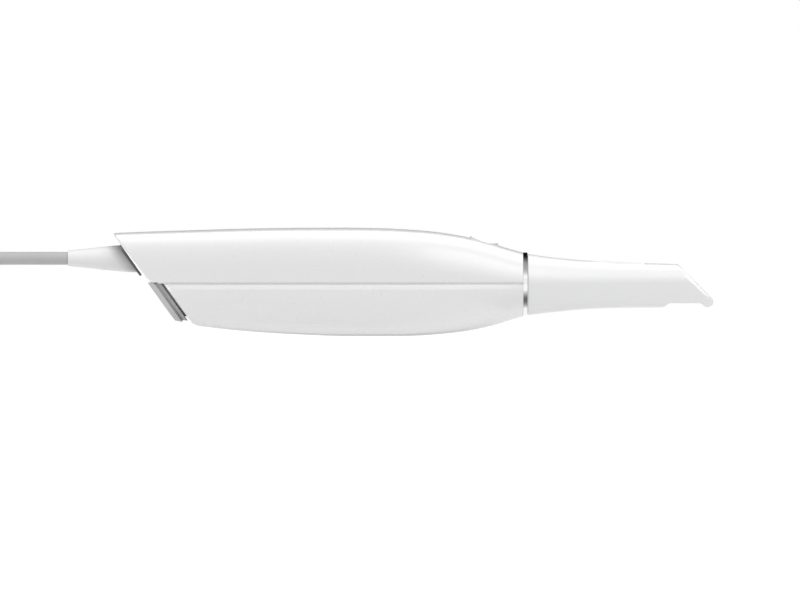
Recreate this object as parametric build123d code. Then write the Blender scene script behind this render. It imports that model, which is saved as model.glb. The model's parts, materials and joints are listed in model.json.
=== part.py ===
from build123d import *
import math
import os

os.makedirs("parts", exist_ok=True)

# ----------------------------------------------------------------------------
# Hand-held intraoral scanner.  Millimetres, +X towards the scanner tip, +Z up,
# symmetric about the XZ plane.  The origin is under the middle of the wand,
# on the surface that it rests on.
# ----------------------------------------------------------------------------

# ---- driving dimensions ------------------------------------------------------
WAND_LENGTH = 274.0          # boot end to tip nose
X_REAR = -WAND_LENGTH / 2    # end face of the cable boot
AXIS_Z = 21.9                # optical axis, widest level of the handle
SEAM_Z = 22.4                # parting level of the two shells
SEAM_GAP = 0.70              # height of the gasket between them
WALL = 2.0                   # shell wall
X_BAND = 56.3                # rear face of the metal band
BAND_W = 2.1                 # width of the band
BAND_R = 13.6                # its outer radius

REAR_X, REAR_Z = -117.67, 43.33      # a point on the slanted rear plane
REAR_ANGLE = 54.5                    # slope of that plane from horizontal
CAP_T = 2.1                          # rear cap plate
GROOVE_T = 0.35                      # dark line between cap and vent frame
VENT_T = 1.85                        # vent frame rim
LOWER_EDGE_T = 5.2                   # rear edge of the lower shell, from plane

CABLE_D = 5.5
CABLE_Z = 33.0
CABLE_R = CABLE_D / 2

BUTTON_X, BUTTON_Z = 39.7, 40.15     # button centre on the upper shell
BUTTON_TILT = 15.5                   # degrees, lid slopes down to the tip
BUTTON_R = 4.90
BUTTON_RING_R = 6.20
BUTTON_TRAVEL = 0.60

SNOUT_R = 8.50               # front tube, outer
SNOUT_BORE = 7.20
SNOUT_END = 92.0
SLEEVE_BORE = 8.58           # tip sleeve running bore
SLEEVE_X0 = 58.62            # rear face of the tip sleeve
TIP_WALL = 1.25
SLANT_SUM = 152.49           # tip end plane: x + z = SLANT_SUM
COVER_T = 2.2                # depth of the end cover
MIRROR_T = 1.0
NOSE_X, NOSE_Z, NOSE_R = 134.6, 14.5, 2.4
RECESS_Z = 13.9              # level of the imaging window's rim
RECESS_X0, RECESS_X1 = 112.9, 118.3
WINDOW_X0, WINDOW_X1, WINDOW_HALF_Y = 119.6, 130.6, 6.2

RAIL_R = 1.50
RAIL_Y = 11.0
FOCUS_TRAVEL = 2.5

FAN_S = 9.6                  # fan centre, along the slope below the seam
FAN_SIZE = 17.0
FAN_T0, FAN_T1 = 5.4, 11.4   # fan frame, depth behind the rear plane

# outline of the handle: x, top, bottom, half width, upper and lower exponent
BODY = [
    (-124.0, 43.45, 13.20, 16.30, 3.00, 2.50),
    (-110.0, 44.08, 9.80, 17.90, 3.00, 2.50),
    (-96.0, 44.58, 6.90, 19.10, 3.00, 2.50),
    (-82.4, 45.02, 4.45, 20.00, 3.00, 2.50),
    (-68.8, 45.44, 2.78, 20.60, 3.00, 2.50),
    (-55.2, 45.74, 1.60, 20.92, 3.00, 2.50),
    (-41.6, 45.94, 0.78, 21.00, 3.00, 2.50),
    (-28.0, 46.00, 0.20, 20.98, 2.98, 2.50),
    (-14.4, 45.97, -0.16, 20.75, 2.93, 2.48),
    (-0.8, 45.66, -0.20, 20.25, 2.84, 2.45),
    (10.0, 45.06, 0.10, 19.55, 2.74, 2.41),
    (19.5, 44.18, 0.68, 18.65, 2.62, 2.36),
    (26.3, 43.20, 1.36, 17.80, 2.52, 2.30),
    (33.1, 41.92, 2.30, 16.80, 2.41, 2.24),
    (39.9, 40.25, 3.66, 15.72, 2.30, 2.17),
    (46.7, 38.22, 5.38, 14.65, 2.18, 2.10),
    (52.0, 36.60, 7.10, 13.95, 2.07, 2.04),
    (56.3, 35.50, 8.30, 13.60, 2.00, 2.00),
]

# outline of the tip sleeve
TIP = [
    (58.62, 34.92, 8.88, 13.02, 2.00, 2.00),
    (63.7, 34.07, 9.52, 12.25, 2.00, 2.02),
    (68.5, 33.45, 10.05, 11.70, 2.00, 2.06),
    (73.9, 32.87, 10.62, 11.20, 2.00, 2.14),
    (80.7, 32.24, 11.20, 10.72, 2.00, 2.28),
    (87.5, 31.78, 11.62, 10.36, 2.02, 2.45),
    (94.3, 31.45, 11.86, 10.08, 2.05, 2.65),
    (101.1, 31.17, 11.98, 9.84, 2.10, 2.85),
    (107.9, 30.95, 12.05, 9.64, 2.15, 3.05),
    (114.7, 30.76, 12.08, 9.46, 2.20, 3.20),
    (124.0, 30.52, 12.08, 9.22, 2.25, 3.30),
    (138.5, 30.15, 12.00, 8.85, 2.30, 3.40),
]

# ---- helpers -------------------------------------------------------------------


def make(node, shape, group=False):
    """Write one named sub-part."""
    solids = shape.solids() if not isinstance(shape, Solid) else [shape]
    solids = [s for s in solids if s.volume > 1e-3]
    if len(solids) == 1:
        out = solids[0]
    else:
        out = Compound(children=[Solid(s.wrapped) for s in solids]) if group else Compound(solids)
    out.label = node
    export_step(out, "parts/%s.step" % node)
    vol = sum(s.volume for s in solids)
    bb = out.bounding_box()
    print("%-20s solids %2d vol %10.1f  x %7.2f..%7.2f y %6.2f..%6.2f z %6.2f..%6.2f" % (
        node, len(solids), vol, bb.min.X, bb.max.X, bb.min.Y, bb.max.Y, bb.min.Z, bb.max.Z))
    return out


def quadrant(w, h, n, off, sy, sz, x):
    """A quarter of a superellipse section, moved inwards by off."""
    pts = []
    steps = 8
    for i in range(steps + 1):
        a = math.pi / 2 * i / steps
        c, s = math.cos(a), math.sin(a)
        r = 1.0 / (c ** n + s ** n) ** (1.0 / n)
        y, z = w * r * c, h * r * s
        gy = (c * r) ** (n - 1) / w if c > 1e-9 else 0.0
        gz = (s * r) ** (n - 1) / h if s > 1e-9 else 0.0
        g = math.hypot(gy, gz)
        pts.append((y - off * gy / g, z - off * gz / g))
    return [Vector(x, sy * p[0], AXIS_Z + sz * p[1]) for p in pts]


def section(row, off=0.0):
    x, zt, zb, w, nu, nl = row
    hu, hl = zt - AXIS_Z, AXIS_Z - zb
    q1 = quadrant(w, hu, nu, off, 1, 1, x)
    q2 = list(reversed(quadrant(w, hu, nu, off, -1, 1, x)))
    q3 = quadrant(w, hl, nl, off, -1, -1, x)
    q4 = list(reversed(quadrant(w, hl, nl, off, 1, -1, x)))
    up, dn = Vector(0, 0, 1), Vector(0, 0, -1)
    lt, rt = Vector(0, -1, 0), Vector(0, 1, 0)
    edges = [
        Edge.make_spline(q1, tangents=[up, lt]),
        Edge.make_spline(q2, tangents=[lt, dn]),
        Edge.make_spline(q3, tangents=[dn, rt]),
        Edge.make_spline(q4, tangents=[rt, up]),
    ]
    return Wire(edges)


def loft_rows(rows, off=0.0):
    return Solid.make_loft([section(r, off) for r in rows])


def cyl(axis, r, a, b, c1=0.0, c2=0.0):
    """Cylinder along a row axis from a to b; c1, c2 are the other two coordinates."""
    if axis == "X":
        pl = Plane(origin=(a, c1, c2), x_dir=(0, 1, 0), z_dir=(1, 0, 0))
    elif axis == "Y":
        pl = Plane(origin=(c1, a, c2), x_dir=(1, 0, 0), z_dir=(0, 1, 0))
    else:
        pl = Plane(origin=(c1, c2, a), x_dir=(1, 0, 0), z_dir=(0, 0, 1))
    return Solid.make_cylinder(r, b - a, pl)


def box(x0, x1, y0, y1, z0, z1):
    return Solid.make_box(x1 - x0, y1 - y0, z1 - z0, Plane(origin=(x0, y0, z0)))


def prism_xz(points, half_y):
    """Extrude a closed side-view polygon to both sides of the XZ plane."""
    w = Wire.make_polygon([Vector(p[0], -half_y, p[1]) for p in points], close=True)
    return Solid.extrude(Face(w), Vector(0, 2 * half_y, 0))


def prism_yz(points, x0, x1):
    w = Wire.make_polygon([Vector(x0, p[0], p[1]) for p in points], close=True)
    return Solid.extrude(Face(w), Vector(x1 - x0, 0, 0))


def revolve_x(points, c=(0.0, AXIS_Z)):
    """Turn a profile of (x, r) points round an axis along X at y, z = c."""
    w = Wire.make_polygon([Vector(p[0], c[0], c[1] + p[1]) for p in points], close=True)
    return Solid.revolve(Face(w), 360, Axis((0, c[0], c[1]), (1, 0, 0)))


def tube_x(r_out, r_in, a, b, c=(0.0, AXIS_Z)):
    return cyl("X", r_out, a, b, *c) - cyl("X", r_in, a - 1, b + 1, *c)


def one(shape):
    """The largest solid of a boolean's result."""
    s = sorted(shape.solids(), key=lambda q: -q.volume)
    if len(s) > 1 and s[1].volume > 0.05:
        print("   dropped pieces", [round(q.volume, 2) for q in s[1:]])
    return s[0]


# slanted rear plane: t runs into the handle, s runs down the slope from the seam
CA, SA = math.cos(math.radians(REAR_ANGLE)), math.sin(math.radians(REAR_ANGLE))
REAR_X0 = REAR_X + (REAR_Z - SEAM_Z) * CA / SA       # plane at the seam level


def rear_pt(s, t):
    return (REAR_X0 + s * CA + t * SA, SEAM_Z - s * SA + t * CA)


def rear_plane(s, t, y=0.0, flip=False):
    x, z = rear_pt(s, t)
    zd = (-SA, 0, -CA) if flip else (SA, 0, CA)
    return Plane(origin=(x, y, z), x_dir=(CA, 0, -SA), z_dir=zd)


def rear_slab(t0, t1, s0=-45.0, s1=45.0, half_y=30.0):
    return prism_xz([rear_pt(s0, t0), rear_pt(s1, t0), rear_pt(s1, t1), rear_pt(s0, t1)], half_y)


def rear_cyl(r, t0, t1, s, y=0.0):
    return Solid.make_cylinder(r, t1 - t0, rear_plane(s, t0, y))


# button frame: u runs out of the shell
BT = math.radians(BUTTON_TILT)
BN = (math.sin(BT), 0.0, math.cos(BT))


def btn_plane(u, dx=0.0, dy=0.0):
    return Plane(origin=(BUTTON_X + BN[0] * u + math.cos(BT) * dx, dy, BUTTON_Z + BN[2] * u - math.sin(BT) * dx),
                 x_dir=(math.cos(BT), 0, -math.sin(BT)), z_dir=BN)


def btn_cyl(r, u0, u1, dx=0.0, dy=0.0):
    return Solid.make_cylinder(r, u1 - u0, btn_plane(u0, dx, dy))


# ---- handle shells ---------------------------------------------------------------
outer = loft_rows(BODY)
inner_rows = [r for r in BODY] + [(57.5, 35.30, 8.50, 13.40, 2.00, 2.00)]
inner = loft_rows(inner_rows, WALL)
above = box(-140, 80, -40, 40, SEAM_Z + SEAM_GAP / 2, 60)
below = box(-140, 80, -40, 40, 0.0, SEAM_Z - SEAM_GAP / 2)
ahead_upper = rear_slab(0.0, 260.0, -260, 260, 40)
ahead_lower = rear_slab(LOWER_EDGE_T, 260.0, -260, 260, 40)

upper = (outer - inner) & above & ahead_upper
# bosses for the rear cap's screws, grown from the inside of the wall
for sy in (-1, 1):
    boss = rear_cyl(2.5, 3.05, 9.5, -9.0, sy * 13.6)
    upper = upper + (boss & outer)
    upper = upper - rear_cyl(0.85, 3.0, 8.5, -9.0, sy * 13.6)
upper = upper - btn_cyl(BUTTON_RING_R + 0.04, -6.0, 4.0)
upper = one(upper)
make("upper_shell", upper)

lower = (outer - inner) & below & ahead_lower
POSTS = [(-70.0, 7.0), (-70.0, -7.0), (20.0, 7.0), (20.0, -7.0)]
CHASSIS_Z = 8.6
CHASSIS_T = 1.9
for px, py in POSTS:
    z0 = 4.4 if px < 0 else 2.3
    lower = lower + cyl("Z", 2.6, z0, CHASSIS_Z, px, py)
    lower = lower - cyl("Z", 1.0, z0 + 1.4, CHASSIS_Z + 1, px, py)
lower = one(lower)
make("lower_shell", lower)

gasket_out = loft_rows(inner_rows, 0.85)
gasket = (gasket_out - inner) & box(-140, X_BAND, -40, 40, SEAM_Z - SEAM_GAP / 2, SEAM_Z + SEAM_GAP / 2)
gasket = gasket & ahead_lower
make("seam_gasket", gasket, group=True)

# ---- metal band ------------------------------------------------------------------
band = revolve_x([(X_BAND, SNOUT_R), (X_BAND + BAND_W, SNOUT_R), (X_BAND + BAND_W, BAND_R - 0.3),
                  (X_BAND + BAND_W - 0.3, BAND_R), (X_BAND + 0.3, BAND_R), (X_BAND, BAND_R - 0.3)])
PIN_Y = (-4.0, -1.4, 1.4, 4.0)
PIN_Z = AXIS_Z - 9.9
for py in PIN_Y:
    band = band - cyl("X", 0.6, X_BAND - 1, X_BAND + BAND_W + 1, py, PIN_Z)
make("metal_band", one(band))

pins = None
for py in PIN_Y:
    p = cyl("X", 0.58, X_BAND - 2.2, X_BAND + BAND_W + 0.10, py, PIN_Z)
    pins = p if pins is None else pins + p
make("heater_pins", pins, group=True)

# ---- front tube and the fixed lens group --------------------------------------------
TUBE_X0 = 28.5
snout = revolve_x([(TUBE_X0, 6.4), (64.55, 6.4), (64.55, SNOUT_BORE), (SNOUT_END, SNOUT_BORE), (SNOUT_END, SNOUT_R - 0.35),
                   (SNOUT_END - 0.35, SNOUT_R), (61.5, SNOUT_R), (61.5, SNOUT_R - 0.7), (60.1, SNOUT_R - 0.7),
                   (60.1, SNOUT_R), (TUBE_X0 + 2.3, SNOUT_R), (TUBE_X0 + 2.3, 12.0), (TUBE_X0, 12.0)])
for k in range(3):
    a = math.radians(90 + 120 * k)
    snout = snout - cyl("X", 0.85, TUBE_X0 - 1, TUBE_X0 + 4, 10.2 * math.cos(a), AXIS_Z + 10.2 * math.sin(a))
make("front_tube", one(snout))

SG = SNOUT_R - 0.7
make("tube_seal", revolve_x([(60.3, SG), (61.3, SG), (61.3, SG + 0.45), (61.05, SG + 0.74), (60.55, SG + 0.74), (60.3, SG + 0.45)]))


def lens_x(x0, x1, r, sag_a, sag_b, c=(0.0, AXIS_Z)):
    """Biconvex or plano lens along X: sag_a, sag_b are the bulges of its two faces."""
    with BuildSketch(Plane(origin=(0, c[0], c[1]), x_dir=(1, 0, 0), z_dir=(0, -1, 0))) as sk:
        with BuildLine():
            Line((x0 + sag_a, r), (x1 - sag_b, r))
            if sag_b:
                RadiusArc((x1 - sag_b, r), (x1, 0), (r * r + sag_b * sag_b) / (2 * sag_b))
            else:
                Line((x1, r), (x1, 0))
            Line((x1, 0), (x0, 0))
            if sag_a:
                RadiusArc((x0, 0), (x0 + sag_a, r), (r * r + sag_a * sag_a) / (2 * sag_a))
            else:
                Line((x0, 0), (x0, r))
        make_face()
    return Solid.revolve(sk.sketch.faces()[0], 360, Axis((0, c[0], c[1]), (1, 0, 0)))


make("front_window", cyl("X", SNOUT_BORE, 87.0, 89.2, 0, AXIS_Z))
make("window_retainer", tube_x(SNOUT_BORE, 6.2, 89.2, 91.4))
make("front_lens", lens_x(81.6, 87.0, SNOUT_BORE, 1.3, 0.0))
make("lens_spacer", tube_x(SNOUT_BORE, 6.4, 68.86, 82.55))
make("rear_lens", lens_x(63.6, 69.6, SNOUT_BORE, 1.2, 1.0))

# ---- optical bench -------------------------------------------------------------------
FB0, FB1 = TUBE_X0 - 2.9, TUBE_X0            # front bracket
RB0, RB1 = -7.0, -4.0                        # rear bracket
CH_TOP = CHASSIS_Z + CHASSIS_T
bench = box(-79.0, FB1, -11.0, 11.0, CHASSIS_Z, CH_TOP)
bench = bench + cyl("X", 13.2, FB0, FB1, 0, AXIS_Z)
bench = bench + cyl("X", 13.6, RB0, RB1, 0, AXIS_Z)
bench = bench - cyl("X", 7.4, RB0 - 4, FB1 + 0.1, 0, AXIS_Z)
bench = bench + box(-79.0, -77.0, -9.0, 9.0, CHASSIS_Z, 38.5)          # cable bracket
bench = bench - cyl("X", CABLE_R + 0.35, -82.0, -70.0, 0, CABLE_Z)
bench = bench - cyl("X", 6.5, -82.0, -70.0, 0, 19.5)
bench = bench + box(-23.0, -8.0, -7.5, 7.5, CH_TOP - 0.2, 15.2)        # splitter seat
for sy in (-1, 1):
    bench = bench - cyl("X", RAIL_R, RB0 - 2, FB1 + 2, sy * RAIL_Y, AXIS_Z)
MAG_Z0, MAG_Z1, MAG_Y = 32.2, 34.0, 2.4
bench = bench - box(RB0 - 2, FB1 + 2, -MAG_Y, MAG_Y, MAG_Z0, MAG_Z1)
for px, py in POSTS:
    bench = bench - cyl("Z", 1.35, CHASSIS_Z - 1, CH_TOP + 1, px, py)
BOARD_HOLES = [(-65.0, 9.5), (-65.0, -9.5), (-38.0, 9.5), (-38.0, -9.5)]
for px, py in BOARD_HOLES:
    bench = bench - cyl("Z", 0.8, CHASSIS_Z - 1, CH_TOP + 1, px, py)
for k in range(3):
    a = math.radians(90 + 120 * k)
    if k == 0:
        continue
    bench = bench - cyl("X", 0.85, FB0 - 1, FB1 + 1, 10.2 * math.cos(a), AXIS_Z + 10.2 * math.sin(a))
make("optical_bench", one(bench))

screws = None
for px, py in POSTS:
    s = cyl("Z", 2.1, CH_TOP, CH_TOP + 1.5, px, py) + cyl("Z", 1.0, CHASSIS_Z - 2.6, CH_TOP + 0.1, px, py)
    s = s - Solid.extrude(Face(Wire.make_polygon(
        [Vector(px + 1.0 * math.cos(math.radians(60 * i)), py + 1.0 * math.sin(math.radians(60 * i)), CH_TOP + 0.7)
         for i in range(6)], close=True)), Vector(0, 0, 2))
    screws = s if screws is None else screws + s
make("bench_screws", screws, group=True)

make("focus_rails", cyl("X", RAIL_R, RB0 - 0.8, FB1 - 0.1, RAIL_Y, AXIS_Z) + cyl("X", RAIL_R, RB0 - 0.8, FB1 - 0.1, -RAIL_Y, AXIS_Z),
     group=True)
make("magnet_bar", box(RB0 - 0.6, FB1 - 0.1, -MAG_Y, MAG_Y, MAG_Z0, MAG_Z1))


def slider(x0, x1, r_out, r_in):
    body = tube_x(r_out, r_in, x0, x1)
    for sy in (-1, 1):
        lug = cyl("X", 2.35, x0, x1, sy * RAIL_Y, AXIS_Z) + box(x0, x1, min(sy * 7.6, sy * RAIL_Y), max(sy * 7.6, sy * RAIL_Y),
                                                               AXIS_Z - 1.6, AXIS_Z + 1.6)
        body = body + lug
    body = body - cyl("X", r_in, x0 - 1, x1 + 1, 0, AXIS_Z)
    for sy in (-1, 1):
        body = body - cyl("X", RAIL_R + 0.05, x0 - 1, x1 + 1, sy * RAIL_Y, AXIS_Z)
    body = body + (box(x0 + 1, x1 - 1, -3.6, 3.6, AXIS_Z + 7.4, 30.4) - cyl("X", r_in, x0 - 1, x1 + 1, 0, AXIS_Z))
    return body


def coil(x0, x1):
    c = box(x0, x1, -4.9, 4.9, 30.4, 36.0)
    c = fillet(c.edges().filter_by(Axis.X), 1.2)
    return c - box(x0 - 1, x1 + 1, -3.1, 3.1, 31.5, 34.7)


make("focus_carriage", one(slider(12.0, 22.0, 8.3, 6.9)))
make("focus_lens", lens_x(14.2, 19.8, 6.9, 1.1, 1.1))
make("focus_coil", one(coil(14.0, 20.5)))
# the counterweight runs the other way on the same rails, with its coil bonded on
make("counterweight", one(slider(-0.8, 6.4, 8.6, 7.2) + coil(0.2, 5.4)))

# ---- beam splitter, camera and lamp -----------------------------------------------------
make("beam_splitter", box(-22.0, -9.0, -6.5, 6.5, 15.2, 28.4))
mount = box(-29.4, -23.0, -9.0, 9.0, CH_TOP, 33.0) - cyl("X", 6.0, -26.6, -22.0, 0, AXIS_Z)
mount = mount - box(-31.0, -26.5, -7.0, 7.0, AXIS_Z - 7.0, AXIS_Z + 7.0)
make("camera_mount", one(mount))
make("camera_lens", lens_x(-26.5, -23.2, 6.0, 0.0, 0.9))
make("camera_board", box(-31.0, -29.4, -9.0, 9.0, 12.0, 33.0))
make("image_sensor", box(-29.4, -27.8, -6.2, 6.2, AXIS_Z - 6.2, AXIS_Z + 6.2))

LAMP_C = -15.5
housing = box(LAMP_C - 7.5, LAMP_C + 7.5, -7.5, 7.5, 28.4, 37.6)
housing = housing - cyl("Z", 5.8, 30.0, 38.0, LAMP_C, 0) - cyl("Z", 5.0, 28.0, 31.0, LAMP_C, 0)
make("lamp_housing", one(housing))
with BuildSketch(Plane(origin=(LAMP_C, 0, 0), x_dir=(1, 0, 0), z_dir=(0, -1, 0))) as sk_l:
    with BuildLine():
        Line((0, 31.0), (5.8, 31.0))
        Line((5.8, 31.0), (5.8, 32.0))
        RadiusArc((5.8, 32.0), (0, 33.4), -(5.8 ** 2 + 1.4 ** 2) / (2 * 1.4))
        Line((0, 33.4), (0, 31.0))
    make_face()
make("condenser_lens", Solid.revolve(sk_l.sketch.faces()[0], 360, Axis((LAMP_C, 0, 0), (0, 0, 1))))
make("pattern_disc", cyl("Z", 5.8, 30.0, 31.0, LAMP_C, 0))
lamp_board = box(LAMP_C - 7.5, LAMP_C + 7.5, -7.5, 7.5, 37.6, 38.8)
lamp_board = lamp_board + box(LAMP_C - 2.5, LAMP_C + 2.5, -2.5, 2.5, 36.2, 37.7)      # lamp chip
make("lamp_board", one(lamp_board))
sink = box(LAMP_C - 7.5, LAMP_C + 7.5, -7.5, 7.5, 38.8, 42.4)
for i in range(5):
    yy = -6.0 + i * 3.0
    sink = sink - box(LAMP_C - 9, LAMP_C + 9, yy - 0.8, yy + 0.8, 40.0, 43.0)
make("lamp_heat_sink", one(sink))

# ---- electronics --------------------------------------------------------------------------
BZ0 = 12.6
standoffs = None
for px, py in BOARD_HOLES:
    s = cyl("Z", 1.9, CH_TOP, BZ0, px, py) - cyl("Z", 0.8, CH_TOP - 1, BZ0 + 1, px, py)
    standoffs = s if standoffs is None else standoffs + s


def board(x0, x1, hy, z0, t, holes, r):
    b = box(x0, x1, -hy, hy, z0, z0 + t)
    b = fillet(b.edges().filter_by(Axis.Z), 1.5)
    for px, py in holes:
        b = b - cyl("Z", r, z0 - 1, z0 + t + 1, px, py)
    return b


MB = BZ0 + 1.6
mboard = one(board(-75.0, -33.0, 12.5, BZ0, 1.6, BOARD_HOLES, 1.1))
for cx, cy in ((-37.6, 3.4), (-37.6, -3.4), (-68.4, 3.6), (-68.4, -3.6)):                # soldered memory
    mboard = mboard + box(cx - 1.9, cx + 1.9, cy - 2.8, cy + 2.8, MB - 0.2, MB + 1.1)
make("main_board", one(mboard))
make("processor", box(-60.0, -44.0, -8.0, 8.0, MB, MB + 1.6))
psink = box(-60.0, -44.0, -8.0, 8.0, MB + 1.6, MB + 8.2)
for i in range(5):
    yy = -6.4 + i * 3.2
    psink = psink - box(-66, -40, yy - 0.95, yy + 0.95, MB + 3.0, MB + 9)
make("processor_heat_sink", one(psink))
UB = 27.4
for px, py in BOARD_HOLES:
    standoffs = standoffs + (cyl("Z", 1.9, MB, UB, px, py) + cyl("Z", 0.75, CH_TOP + 0.2, MB + 0.1, px, py))
make("board_standoffs", standoffs, group=True)
UBT = UB + 1.4
pboard = one(board(-75.0, -33.0, 12.5, UB, 1.4, BOARD_HOLES, 1.1))
for cx, cy in ((-55.0, 5.0), (-55.0, -5.0), (-47.0, 0.0)):                                # inductors
    c = box(cx - 3.2, cx + 3.2, cy - 3.2, cy + 3.2, UBT - 0.2, UBT + 3.2)
    pboard = pboard + chamfer(c.edges().filter_by(Axis.Z), 0.7)
for cx, cy in ((-38.0, 3.6), (-38.0, -3.6)):                                              # capacitors
    pboard = pboard + cyl("Z", 2.4, UBT - 0.2, UBT + 5.6, cx, cy)
make("power_board", one(pboard))
bscrews = None
for px, py in BOARD_HOLES:
    s = cyl("Z", 1.9, UBT, UBT + 1.3, px, py) + cyl("Z", 1.05, UB, UBT + 0.1, px, py)
    s = s - box(px - 1.3, px + 1.3, py - 0.25, py + 0.25, UBT + 0.7, UBT + 2)
    bscrews = s if bscrews is None else bscrews + s
make("board_screws", bscrews, group=True)
conn = box(-70.0, -61.6, -6.0, 6.0, UBT, 37.2)
conn = fillet(conn.edges().filter_by(Axis.Z), 0.8)
make("cable_connector", conn)

# ---- fan --------------------------------------------------------------------------------------
fx, fz = rear_pt(FAN_S, 0)
FAN_BORE = 7.6
half = FAN_SIZE / 2
frame_solid = prism_xz([rear_pt(FAN_S - half, FAN_T0), rear_pt(FAN_S + half, FAN_T0),
                        rear_pt(FAN_S + half, FAN_T1), rear_pt(FAN_S - half, FAN_T1)], half)
frame_solid = frame_solid - rear_cyl(FAN_BORE, FAN_T0 - 1, FAN_T1 + 1, FAN_S)
motor = rear_cyl(3.0, FAN_T1 - 1.2, FAN_T1, FAN_S)
struts = None
for k in range(3):
    a = math.radians(30 + 120 * k)
    pl = rear_plane(FAN_S, FAN_T1 - 1.2)
    st = Solid.make_box(FAN_BORE + 0.3, 1.0, 1.2, Plane(origin=pl.origin - pl.y_dir.rotate(Axis((0, 0, 0), pl.z_dir), math.degrees(a)) * 0.5,
                                               x_dir=pl.x_dir.rotate(Axis((0, 0, 0), pl.z_dir), math.degrees(a)), z_dir=pl.z_dir))
    struts = st if struts is None else struts + st
frame_solid = frame_solid + motor + struts
frame_solid = frame_solid - rear_cyl(0.85, FAN_T0, FAN_T1 + 1, FAN_S)
for ds in (-1, 1):
    for dy in (-1, 1):
        frame_solid = frame_solid - rear_cyl(0.9, FAN_T0 - 1, FAN_T1 + 1, FAN_S + ds * 7.0, dy * 7.0)
make("fan_frame", one(frame_solid))

rotor = rear_cyl(3.3, FAN_T0 + 0.4, FAN_T1 - 1.6, FAN_S)
rotor = rotor - rear_cyl(2.6, FAN_T0 + 1.4, FAN_T1 - 1.5, FAN_S)
rotor = rotor + rear_cyl(0.80, FAN_T0 + 0.6, FAN_T1 - 0.3, FAN_S)
N_BLADES = 7
BLADE_R = FAN_BORE - 0.4
for k in range(N_BLADES):
    a = 360.0 * k / N_BLADES
    pl = rear_plane(FAN_S, (FAN_T0 + FAN_T1) / 2 - 0.6)
    ax = Axis((0, 0, 0), pl.z_dir)
    rad = pl.x_dir.rotate(ax, a)
    tan = pl.y_dir.rotate(ax, a)
    tan2 = tan * math.cos(math.radians(38)) + pl.z_dir * math.sin(math.radians(38))
    nrm = rad.cross(tan2)
    o = pl.origin + rad * 2.9 - tan2 * 2.0 - nrm * 0.3
    blade = Solid.make_box(BLADE_R - 2.9, 4.0, 0.6, Plane(origin=o, x_dir=rad, z_dir=nrm))
    rotor = rotor + blade
rotor = rotor & rear_cyl(BLADE_R, FAN_T0 + 0.4, FAN_T1 - 0.3, FAN_S)
make("fan_rotor", one(rotor))

# ---- rear cap, vent frame, cable parts -----------------------------------------------------------
cap_lower_form = loft_rows(BODY, 0.50)
cap_upper_form = loft_rows(BODY, WALL + 0.12)
low_zone = box(-140, 80, -40, 40, 0.0, SEAM_Z + 0.15)
up_zone = box(-140, 80, -40, 40, SEAM_Z - 1.5, 60)
cap = (cap_lower_form & rear_slab(0.0, CAP_T)) & low_zone
cap = cap + ((cap_upper_form & rear_slab(0.9, CAP_T + 0.2)) & up_zone)
cap = cap + ((cap_upper_form & rear_slab(0.9, 3.0)) & box(-140, 80, -40, 40, SEAM_Z + 0.02, 60))
rib = (loft_rows(BODY, 2.6) & rear_slab(CAP_T - 0.2, CAP_T + GROOVE_T)) & low_zone
cap = cap + rib
SLOT_S = [3.0, 6.3, 9.6, 12.9, 16.2]
for s in SLOT_S:
    chord = math.sqrt(max(FAN_BORE ** 2 - (s - FAN_S) ** 2, 4.0)) - 0.3
    slot = prism_xz([rear_pt(s - 0.75, -1), rear_pt(s + 0.75, -1), rear_pt(s + 0.75, 4), rear_pt(s - 0.75, 4)], chord)
    cap = cap - slot
cap = cap - cyl("X", 6.15, -125, -95, 0, CABLE_Z)
for sy in (-1, 1):
    cap = cap - rear_cyl(1.05, -1, 4, -9.0, sy * 13.6)
    cap = cap - rear_cyl(2.1, -1, 1.9, -9.0, sy * 13.6)
make("rear_cap", one(cap))

capscrews = None
for sy in (-1, 1):
    s = rear_cyl(1.9, 0.95, 1.9, -9.0, sy * 13.6) + rear_cyl(0.85, 1.8, 7.5, -9.0, sy * 13.6)
    s = s - rear_cyl(0.8, 0.5, 1.45, -9.0, sy * 13.6)
    capscrews = s if capscrews is None else capscrews + s
make("cap_screws", capscrews, group=True)

V0 = CAP_T + GROOVE_T
vent_zone = box(-140, 80, -40, 40, 0.0, SEAM_Z - 0.05)
vent = (loft_rows(BODY, 1.40) & rear_slab(V0, V0 + VENT_T)) & vent_zone
vent = vent + ((loft_rows(BODY, 3.2) & rear_slab(V0 + VENT_T - 0.2, FAN_T0)) & vent_zone)
vent = vent - rear_cyl(FAN_BORE, 0, 9, FAN_S)
for ds in (-1, 1):
    for dy in (-1, 1):
        vent = vent - rear_cyl(0.7, V0 + 1.0, 9, FAN_S + ds * 7.0, dy * 7.0)
make("vent_frame", one(vent))

collar = cyl("X", 7.15, -125, -95, 0, CABLE_Z) - cyl("X", 6.15, -126, -94, 0, CABLE_Z)
make("cable_collar", one(collar & rear_slab(-1.15, 0.9)))

boot = revolve_x([(X_REAR, CABLE_R + 0.05), (X_REAR, 3.15), (X_REAR + 0.4, 3.45), (-129.0, 4.15), (-121.3, 5.0), (-115.0, 5.62),
                  (-110.0, 5.95), (-106.0, 6.05), (-99.5, 6.05), (-99.5, CABLE_R + 0.05)], (0.0, CABLE_Z))
flange = (cyl("X", 8.2, -125, -90, 0, CABLE_Z) & rear_slab(3.05, 4.7)) - cyl("X", CABLE_R + 0.05, -126, -80, 0, CABLE_Z)
make("cable_boot", one(boot + flange))

clamp = box(-85.5, -79.0, -6.5, 6.5, 28.2, 37.8) - cyl("X", CABLE_R + 0.02, -90, -75, 0, CABLE_Z)
clamp = fillet(clamp.edges().filter_by(Axis.X).filter_by(lambda e: abs(e.center().Y) > 6), 1.2)
make("cable_clamp", one(clamp))
make("inner_cable", cyl("X", CABLE_R, X_REAR, -70.0, 0, CABLE_Z))

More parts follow.
